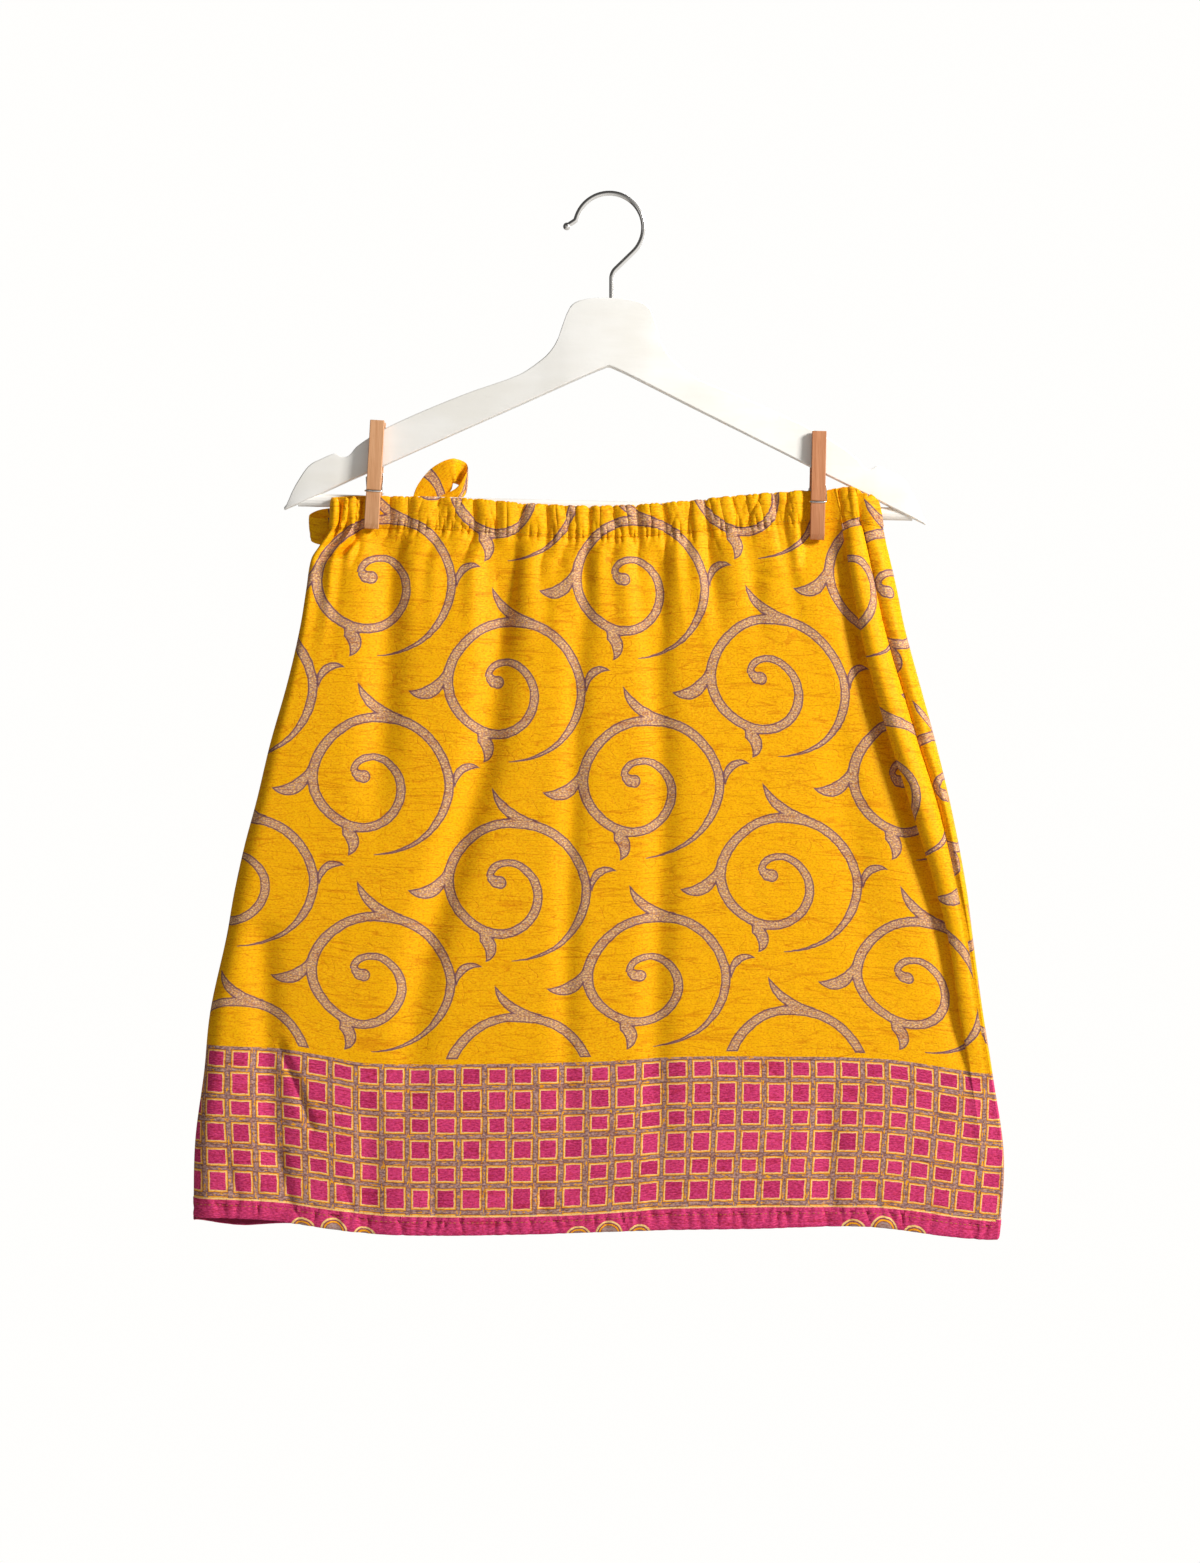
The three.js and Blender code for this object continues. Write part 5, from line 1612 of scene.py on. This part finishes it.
print_face = cloth_material("cloth_print")
print_back = cloth_material("cloth_reverse", reverse=True)
print("nodes in the print", len(print_face.node_tree.nodes))

# %% [markdown]
# ## Tools for the hard pieces
# The hanger, the hook and the pegs are modelled as a person would at the screen: a primitive at
# its size and place, then extrude, cut, move and bevel. Each helper wraps one such step. The
# choice of points is made by a test on their place, as a box select would make it.

# %% Helpers for editing
def pick(obj, test):
    """In edit mode, selects the vertices whose place, in millimetres, passes the test."""
    shape = bmesh.from_edit_mesh(obj.data)
    for vertex in shape.verts:
        vertex.select = bool(test(vertex.co / MM))
    shape.select_flush_mode()
    bmesh.update_edit_mesh(obj.data)


def move(x, y, z):
    bpy.ops.transform.translate(value=(x * MM, y * MM, z * MM))


def pull(x, y, z):
    bpy.ops.mesh.extrude_region_move(TRANSFORM_OT_translate={"value": (x * MM, y * MM, z * MM)})


def lean(degrees):
    """Turns the whole shape about the origin, in the plane that the skirt hangs in."""
    bpy.ops.mesh.select_all(action="SELECT")
    bpy.ops.transform.rotate(value=-math.radians(degrees), orient_axis="Y", center_override=(0, 0, 0))


def bevelled(obj, width, segments, angle):
    select_only(obj)
    edge = obj.modifiers.new("edges", "BEVEL")
    edge.width = width * MM
    edge.segments = segments
    edge.limit_method = "ANGLE"
    edge.angle_limit = math.radians(angle)
    bpy.ops.object.modifier_apply(modifier=edge.name)
    print(obj.name, "has", len(obj.data.polygons), "faces after its bevel")
    return obj


def new_cube(place, size):
    """A cube of the given size at the given place, left in edit mode."""
    bpy.ops.mesh.primitive_cube_add(size=1, location=(0, 0, 0))
    obj = bpy.context.object
    begin(obj)
    bpy.ops.transform.resize(value=[s * MM for s in size])
    move(*place)
    return obj


print("one millimetre is", MM, "in the scene")

# %% [markdown]
# ## Hanger
# The wooden body starts as a thin slab at its middle. Its right face is extruded station by
# station out along the arm, and resized at each, and then the left face the same way. A bevel
# rounds all long edges, and the whole body is turned a little, because it hangs askew.

# %% Hanger body
HANGER_AXIS, HANGER_LEAN = 4.5, 1.335
ARM = table("x top bottom depth", [
    (0, 69.2, 114.5, 12), (10, 69.4, 118.7, 12), (21, 71.5, 123.8, 12), (27, 76, 126.6, 12),
    (31, 86, 128.5, 11.8), (34, 96, 129.9, 11.6), (39, 105, 132.3, 11.4), (46, 112, 135.6, 11),
    (60, 121.6, 142.2, 10.4), (93, 134, 157.6, 9), (126, 148, 173.1, 8.2), (148, 158.6, 183.5, 8),
    (161, 166.4, 189.5, 8), (165.6, 169.8, 191.7, 8), (169.4, 173, 193.4, 8), (172, 176.6, 194.6, 8),
    (175, 178.9, 196, 8.2), (178.6, 178.7, 197.7, 8.4), (182.5, 176.8, 199.6, 8.8),
    (191.5, 180.4, 203.9, 9.2), (200.4, 185.6, 208.1, 9.4), (207.4, 195.7, 211.3, 8.8),
    (211.6, 203.8, 213.2, 7.8), (214.6, 211.2, 214.6, 6.4), (216.5, 213.6, 215.6, 5),
])
STATIONS = np.concatenate([
    np.linspace(1, 60, 24), np.linspace(68, 160, 10), np.linspace(164, 216.5, 34),
])


def station(x):
    top, bottom, depth = (float(read(ARM, "x", name, x)) for name in ("top", "bottom", "depth"))
    sweep = 9.6 * (x / 205) ** 1.1 * float(smooth(x, -8, 55))
    return {"x": x, "y": sweep, "z": -(top + bottom) / 2, "tall": bottom - top, "deep": depth}


first = station(STATIONS[0])
body = new_cube((HANGER_AXIS, 0, first["z"]), (2 * first["x"], first["deep"], first["tall"]))
for side in (1, -1):
    pick(body, lambda p: side * (p.x - HANGER_AXIS) > first["x"] - 0.01)
    before = first
    for place in map(station, STATIONS[1:]):
        pull(side * (place["x"] - before["x"]), place["y"] - before["y"], place["z"] - before["z"])
        centre = (HANGER_AXIS + side * place["x"], place["y"], place["z"])
        grow = (1, place["deep"] / before["deep"], place["tall"] / before["tall"])
        bpy.ops.transform.resize(value=grow, center_override=[c * MM for c in centre])
        before = place
lean(HANGER_LEAN)
finish_mesh(body, "hanger_wood")
bevelled(body, 1.7, 3, 50)

# %% [markdown]
# ## Hook
# A wire is a circle that travels. It goes straight up out of the hub, spins through a short
# bend, goes straight, spins the other way round the hook's big curve, and flares out at the
# tip, which carries a small ball. Each bend is one spin about its own centre.

# %% Hook
WIRE = 1.7
HOOK_X, HUB_UP, BEND_UP = 3.9, -80, -55.6
SHORT_BEND, BIG_CURVE, FLARE = (12.9, BEND_UP, 46), (2.3, -21.3, -211), (-22.8, -14.6, 42)
STRAIGHT = (16.2 * 0.719, 0, 16.2 * 0.695)
TIP = (-4.4, 0, -2.9)
BALL_RADIUS, BALL_PLACE = 2.6, (-26.2, 0, -20.6)


def spin_about(x, z, degrees):
    bpy.ops.mesh.spin(
        steps=max(6, round(abs(degrees) / 5)), angle=-math.radians(degrees),
        center=(x * MM, 0, z * MM), axis=(0, 1, 0),
    )


bpy.ops.mesh.primitive_circle_add(vertices=20, radius=WIRE * MM, location=(0, 0, 0))
hook = bpy.context.object
begin(hook)
move(HOOK_X, 0, HUB_UP)
pull(0, 0, BEND_UP - HUB_UP)
spin_about(*SHORT_BEND)
pull(*STRAIGHT)
spin_about(*BIG_CURVE)
spin_about(*FLARE)
pull(*TIP)
finish_mesh(hook, "hook_wire", 60)
bpy.ops.mesh.primitive_uv_sphere_add(
    segments=24, ring_count=12, radius=BALL_RADIUS * MM, location=(0, 0, 0)
)
ball = bpy.context.object
begin(ball)
move(*BALL_PLACE)
finish_mesh(ball, "hook_ball", 60)
select_only(hook)
ball.select_set(True)
bpy.ops.object.join()

# %% [markdown]
# ## Clothes pegs
# Each leg of a peg is a slim block. It is cut across at the heights where its shape changes,
# and the points at each cut are moved: the jaw is slanted at the tip, a shoulder comes in to
# the spring's coil, and the handle tapers. The two legs have the same shape, mirrored.

# %% Peg legs
PEG_Y, PEG_WIDE, PEG_LONG = 7.0, 9.6, 73.0
PEG_GROOVE = 11.2
PEG_BLANK = (7, 11)
PEG_INNER_FACE = {0: 7.4, 2.5: 6.3, 29.8: 6.3, 31: 3.6, 39: 3.6, 40: 5.6, PEG_LONG: 6.3}
PEG_OUTER_FACE = {
    0: 10.4, 4: 12.6, 24.2: 11.8, 24.7: PEG_GROOVE, 25.7: PEG_GROOVE, 26.2: 11.75, PEG_LONG: 10.2,
}


def place_on_waist(peg):
    lean(peg["lean"])
    move(peg["x"], PEG_Y, -peg["drop"])


def peg_leg(name, peg, side):
    leg = new_cube(
        (0, side * sum(PEG_BLANK) / 2, PEG_LONG / 2), (PEG_WIDE, PEG_BLANK[1] - PEG_BLANK[0], PEG_LONG)
    )
    cuts = sorted(set(PEG_INNER_FACE) | set(PEG_OUTER_FACE))
    for height in cuts[1:-1]:
        bpy.ops.mesh.select_all(action="SELECT")
        bpy.ops.mesh.bisect(plane_co=(0, 0, height * MM), plane_no=(0, 0, 1))
    for face, blank in zip((PEG_INNER_FACE, PEG_OUTER_FACE), PEG_BLANK):
        now = side * blank
        for height in cuts:
            aim = side * float(np.interp(height, list(face), list(face.values())))
            pick(leg, lambda p: abs(p.z - height) < 0.05 and abs(p.y - now) < 0.01)
            move(0, aim - now, 0)
    place_on_waist(peg)
    finish_mesh(leg, name, 35)
    return bevelled(leg, 0.45, 2, 40)


legs = {
    f"peg_{key}_{face}_wood": peg_leg(f"peg_{key}_{face}_wood", peg, side)
    for key, peg in PEGS.items() for face, side in (("front", -1), ("back", 1))
}

# %% [markdown]
# ## Peg springs
# The spring is one wire: it crosses the front leg in its groove, runs up beside the leg to the
# coil, winds round three times, and comes down beside the back leg. The wire is drawn as a
# curve with a round bevel, and converted to a mesh once its path is right.

# %% Springs
SPRING_WIRE, COIL_RADIUS, COIL_TURNS = 0.62, 3.2, 3
COIL_UP, CROSS_UP = 34.8, 25.2


def spring_points():
    edge = PEG_WIDE / 2 + SPRING_WIRE + 0.1
    outer = PEG_GROOVE + SPRING_WIRE
    front = [
        (-edge, -outer + 1.5, CROSS_UP), (-edge + 1, -outer, CROSS_UP), (0, -outer, CROSS_UP),
        (edge - 1, -outer, CROSS_UP), (edge, -outer + 1.2, CROSS_UP + 0.6), (edge, -8.5, 29),
    ]
    coil = []
    for share in np.linspace(0, 1, 40):
        turn = (2 * COIL_TURNS * share - 0.5) * math.pi
        up = COIL_UP + COIL_RADIUS * math.cos(turn)
        coil.append((mix(edge, -edge, share), COIL_RADIUS * math.sin(turn), up))
    back = [(-x, -y, up) for x, y, up in reversed(front)]
    return front + coil + back


def spring(name, peg):
    line = bpy.data.curves.new(name, "CURVE")
    line.dimensions = "3D"
    line.bevel_depth = SPRING_WIRE * MM
    line.bevel_resolution = 3
    line.use_fill_caps = True
    path = line.splines.new("POLY")
    points = spring_points()
    path.points.add(len(points) - 1)
    for point, place in zip(path.points, points):
        point.co = (*[c * MM for c in place], 1)
    obj = bpy.data.objects.new(name, line)
    bpy.context.collection.objects.link(obj)
    select_only(obj)
    bpy.ops.object.convert(target="MESH")
    obj = bpy.context.object
    begin(obj)
    place_on_waist(peg)
    return finish_mesh(obj, name, 60)


springs = {key: spring(f"peg_{key}_wire", peg) for key, peg in PEGS.items()}

# %% [markdown]
# ## Wood, steel and thread
# The hanger is painted, so its grain is a faint ripple in the paint. The pegs are bare beech,
# with long fine streaks down the wood. The left one is paler than the right one. Streaks need
# coordinates that follow the object, and here the Object ones do: every piece stands unturned
# at the origin, so they are plain metres.

# %% Plain materials
def plain_material(name, colour, roughness, metallic=0.0, specular=0.4):
    material = bpy.data.materials.new(name)
    material.use_nodes = True
    shader = material.node_tree.nodes["Principled BSDF"]
    shader.inputs["Base Color"].default_value = rgb(colour)
    shader.inputs["Roughness"].default_value = roughness
    shader.inputs["Metallic"].default_value = metallic
    shader.inputs["Specular IOR Level"].default_value = specular
    return material


def object_place(material):
    """How far across a point lies, with most of its depth added, and how high it lies."""
    tree = material.node_tree
    place = tree.nodes.new("ShaderNodeTexCoord")
    split = add_node(tree, "SeparateXYZ", {"Vector": place.outputs["Object"]})
    x, y, z = (Signal(split.outputs[axis]) * 1000 for axis in "XYZ")
    return x + y * 0.8, z


def colour_by(material, colour):
    shader = material.node_tree.nodes["Principled BSDF"]
    material.node_tree.links.new(colour, shader.inputs["Base Color"])


def rough_up(material, height, distance):
    tree = material.node_tree
    bump = add_node(tree, "Bump", {"Height": height, "Strength": 0.5, "Distance": distance * MM})
    tree.links.new(bump.outputs["Normal"], tree.nodes["Principled BSDF"].inputs["Normal"])


def bare_wood(name, pale, dark):
    material = plain_material(name, pale, 0.62, specular=0.25)
    across, up = object_place(material)
    streaks = noise(across, up, 0.55, 16, 3.0, 51.0)
    rings = noise(across, up, 2.6, 60, 1.0, 54.0)
    colour = blend(rings.step(0.35, 0.65) * 0.45, pale, dark)
    colour_by(material, blend(streaks.step(0.45, 0.75) * 0.7, colour, dark))
    rough_up(material, streaks, 0.15)
    return material


painted_wood = plain_material("painted_wood", "faf7f0", 0.42)
across, up = object_place(painted_wood)
uneven = noise(across, up, 60, 25, 2.0, 61.0).step(0.3, 0.7)
colour_by(painted_wood, blend(uneven, "fbf8f2", "f3efe6"))
rough_up(painted_wood, noise(across, up, 26, 5, 2.0, 62.0), 0.35)
beech = {
    "left": bare_wood("bare_beech_left", "dca67a", "be8152"),
    "right": bare_wood("bare_beech_right", "d09066", "ae683e"),
}
steel = plain_material("steel", "d2cfcb", 0.16, metallic=1.0)
threads = [plain_material("thread_gold", "b47c18", 0.6), plain_material("thread_pink", "c23a6e", 0.6)]
floor_paint = plain_material("floor_paint", "f2f1ee", 0.8)
print("materials", [m.name for m in bpy.data.materials])

# %% [markdown]
# ## Every piece in its place
# Each piece rides on the whole thing's root, because nothing here moves by itself. It takes
# the place of the solid that it was made from, and gets its material. The plain bar was good
# enough as it came, so it only gets its paint.

# %% Pieces, solids and materials
LAYER_NODES = {
    "front": ("front_panel", "casing_front", "hem_front"),
    "back_over": ("back_panel_over", "casing_back_over", "hem_back_over"),
    "back_under": ("back_panel_under", "casing_back_under", "hem_back_under"),
}


def wear(piece, *materials):
    piece.data.materials.clear()
    for material in materials:
        piece.data.materials.append(material)


def finish_piece(piece, materials, node):
    wear(piece, *materials)
    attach(piece, "root")
    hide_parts(node)


for layer, (panel_node, casing_node, hem_node) in LAYER_NODES.items():
    cloth_faces = [print_face, print_back]
    finish_piece(panels[layer], cloth_faces, panel_node)
    finish_piece(casings[layer], cloth_faces, casing_node)
    finish_piece(hems[layer], cloth_faces, hem_node)
    wear(stitches[layer], *threads)
    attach(stitches[layer], "root")
ties = [
    (side_loop, "tie_loop_side"), (top_loop, "tie_loop_top"), (tails[0], "tie_tail_long"),
    (tails[1], "tie_tail_short"), (knot, "tie_knot"),
]
for piece, node in ties:
    finish_piece(piece, [print_face], node)
finish_piece(body, [painted_wood], "hanger_body")
finish_piece(hook, [steel], "hanger_hook")
for key in PEGS:
    for face in ("front", "back"):
        finish_piece(legs[f"peg_{key}_{face}_wood"], [beech[key]], f"peg_{key}_{face}")
    finish_piece(springs[key], [steel], f"peg_{key}_spring")
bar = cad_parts["hanger_bar"]
wear(bar, painted_wood)
print(len(LAYER_NODES), "layers,", len(ties), "pieces of the tie, and", len(legs), "legs of pegs in place")

# %% [markdown]
# ## Sheets
# A sheet is cut flat before it is sewn. The front is cut wider than the waist, because the
# waist is gathered. The turn-ups at the waist and at the hem are separate pieces in this file,
# but they are the same cut of cloth.

# %% [markdown]
# ## Floor and scene size
# A plain pale floor lies well below the skirt. The last lines print the box round the
# finished scene.

# %% Floor, sizes and finish
bpy.ops.mesh.primitive_plane_add(size=3.6, location=(0, 0, -1.9))
floor = bpy.context.object
floor.name = "floor"
floor.data.materials.append(floor_paint)
floor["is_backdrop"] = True

low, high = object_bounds()
print("scene box", low, high)
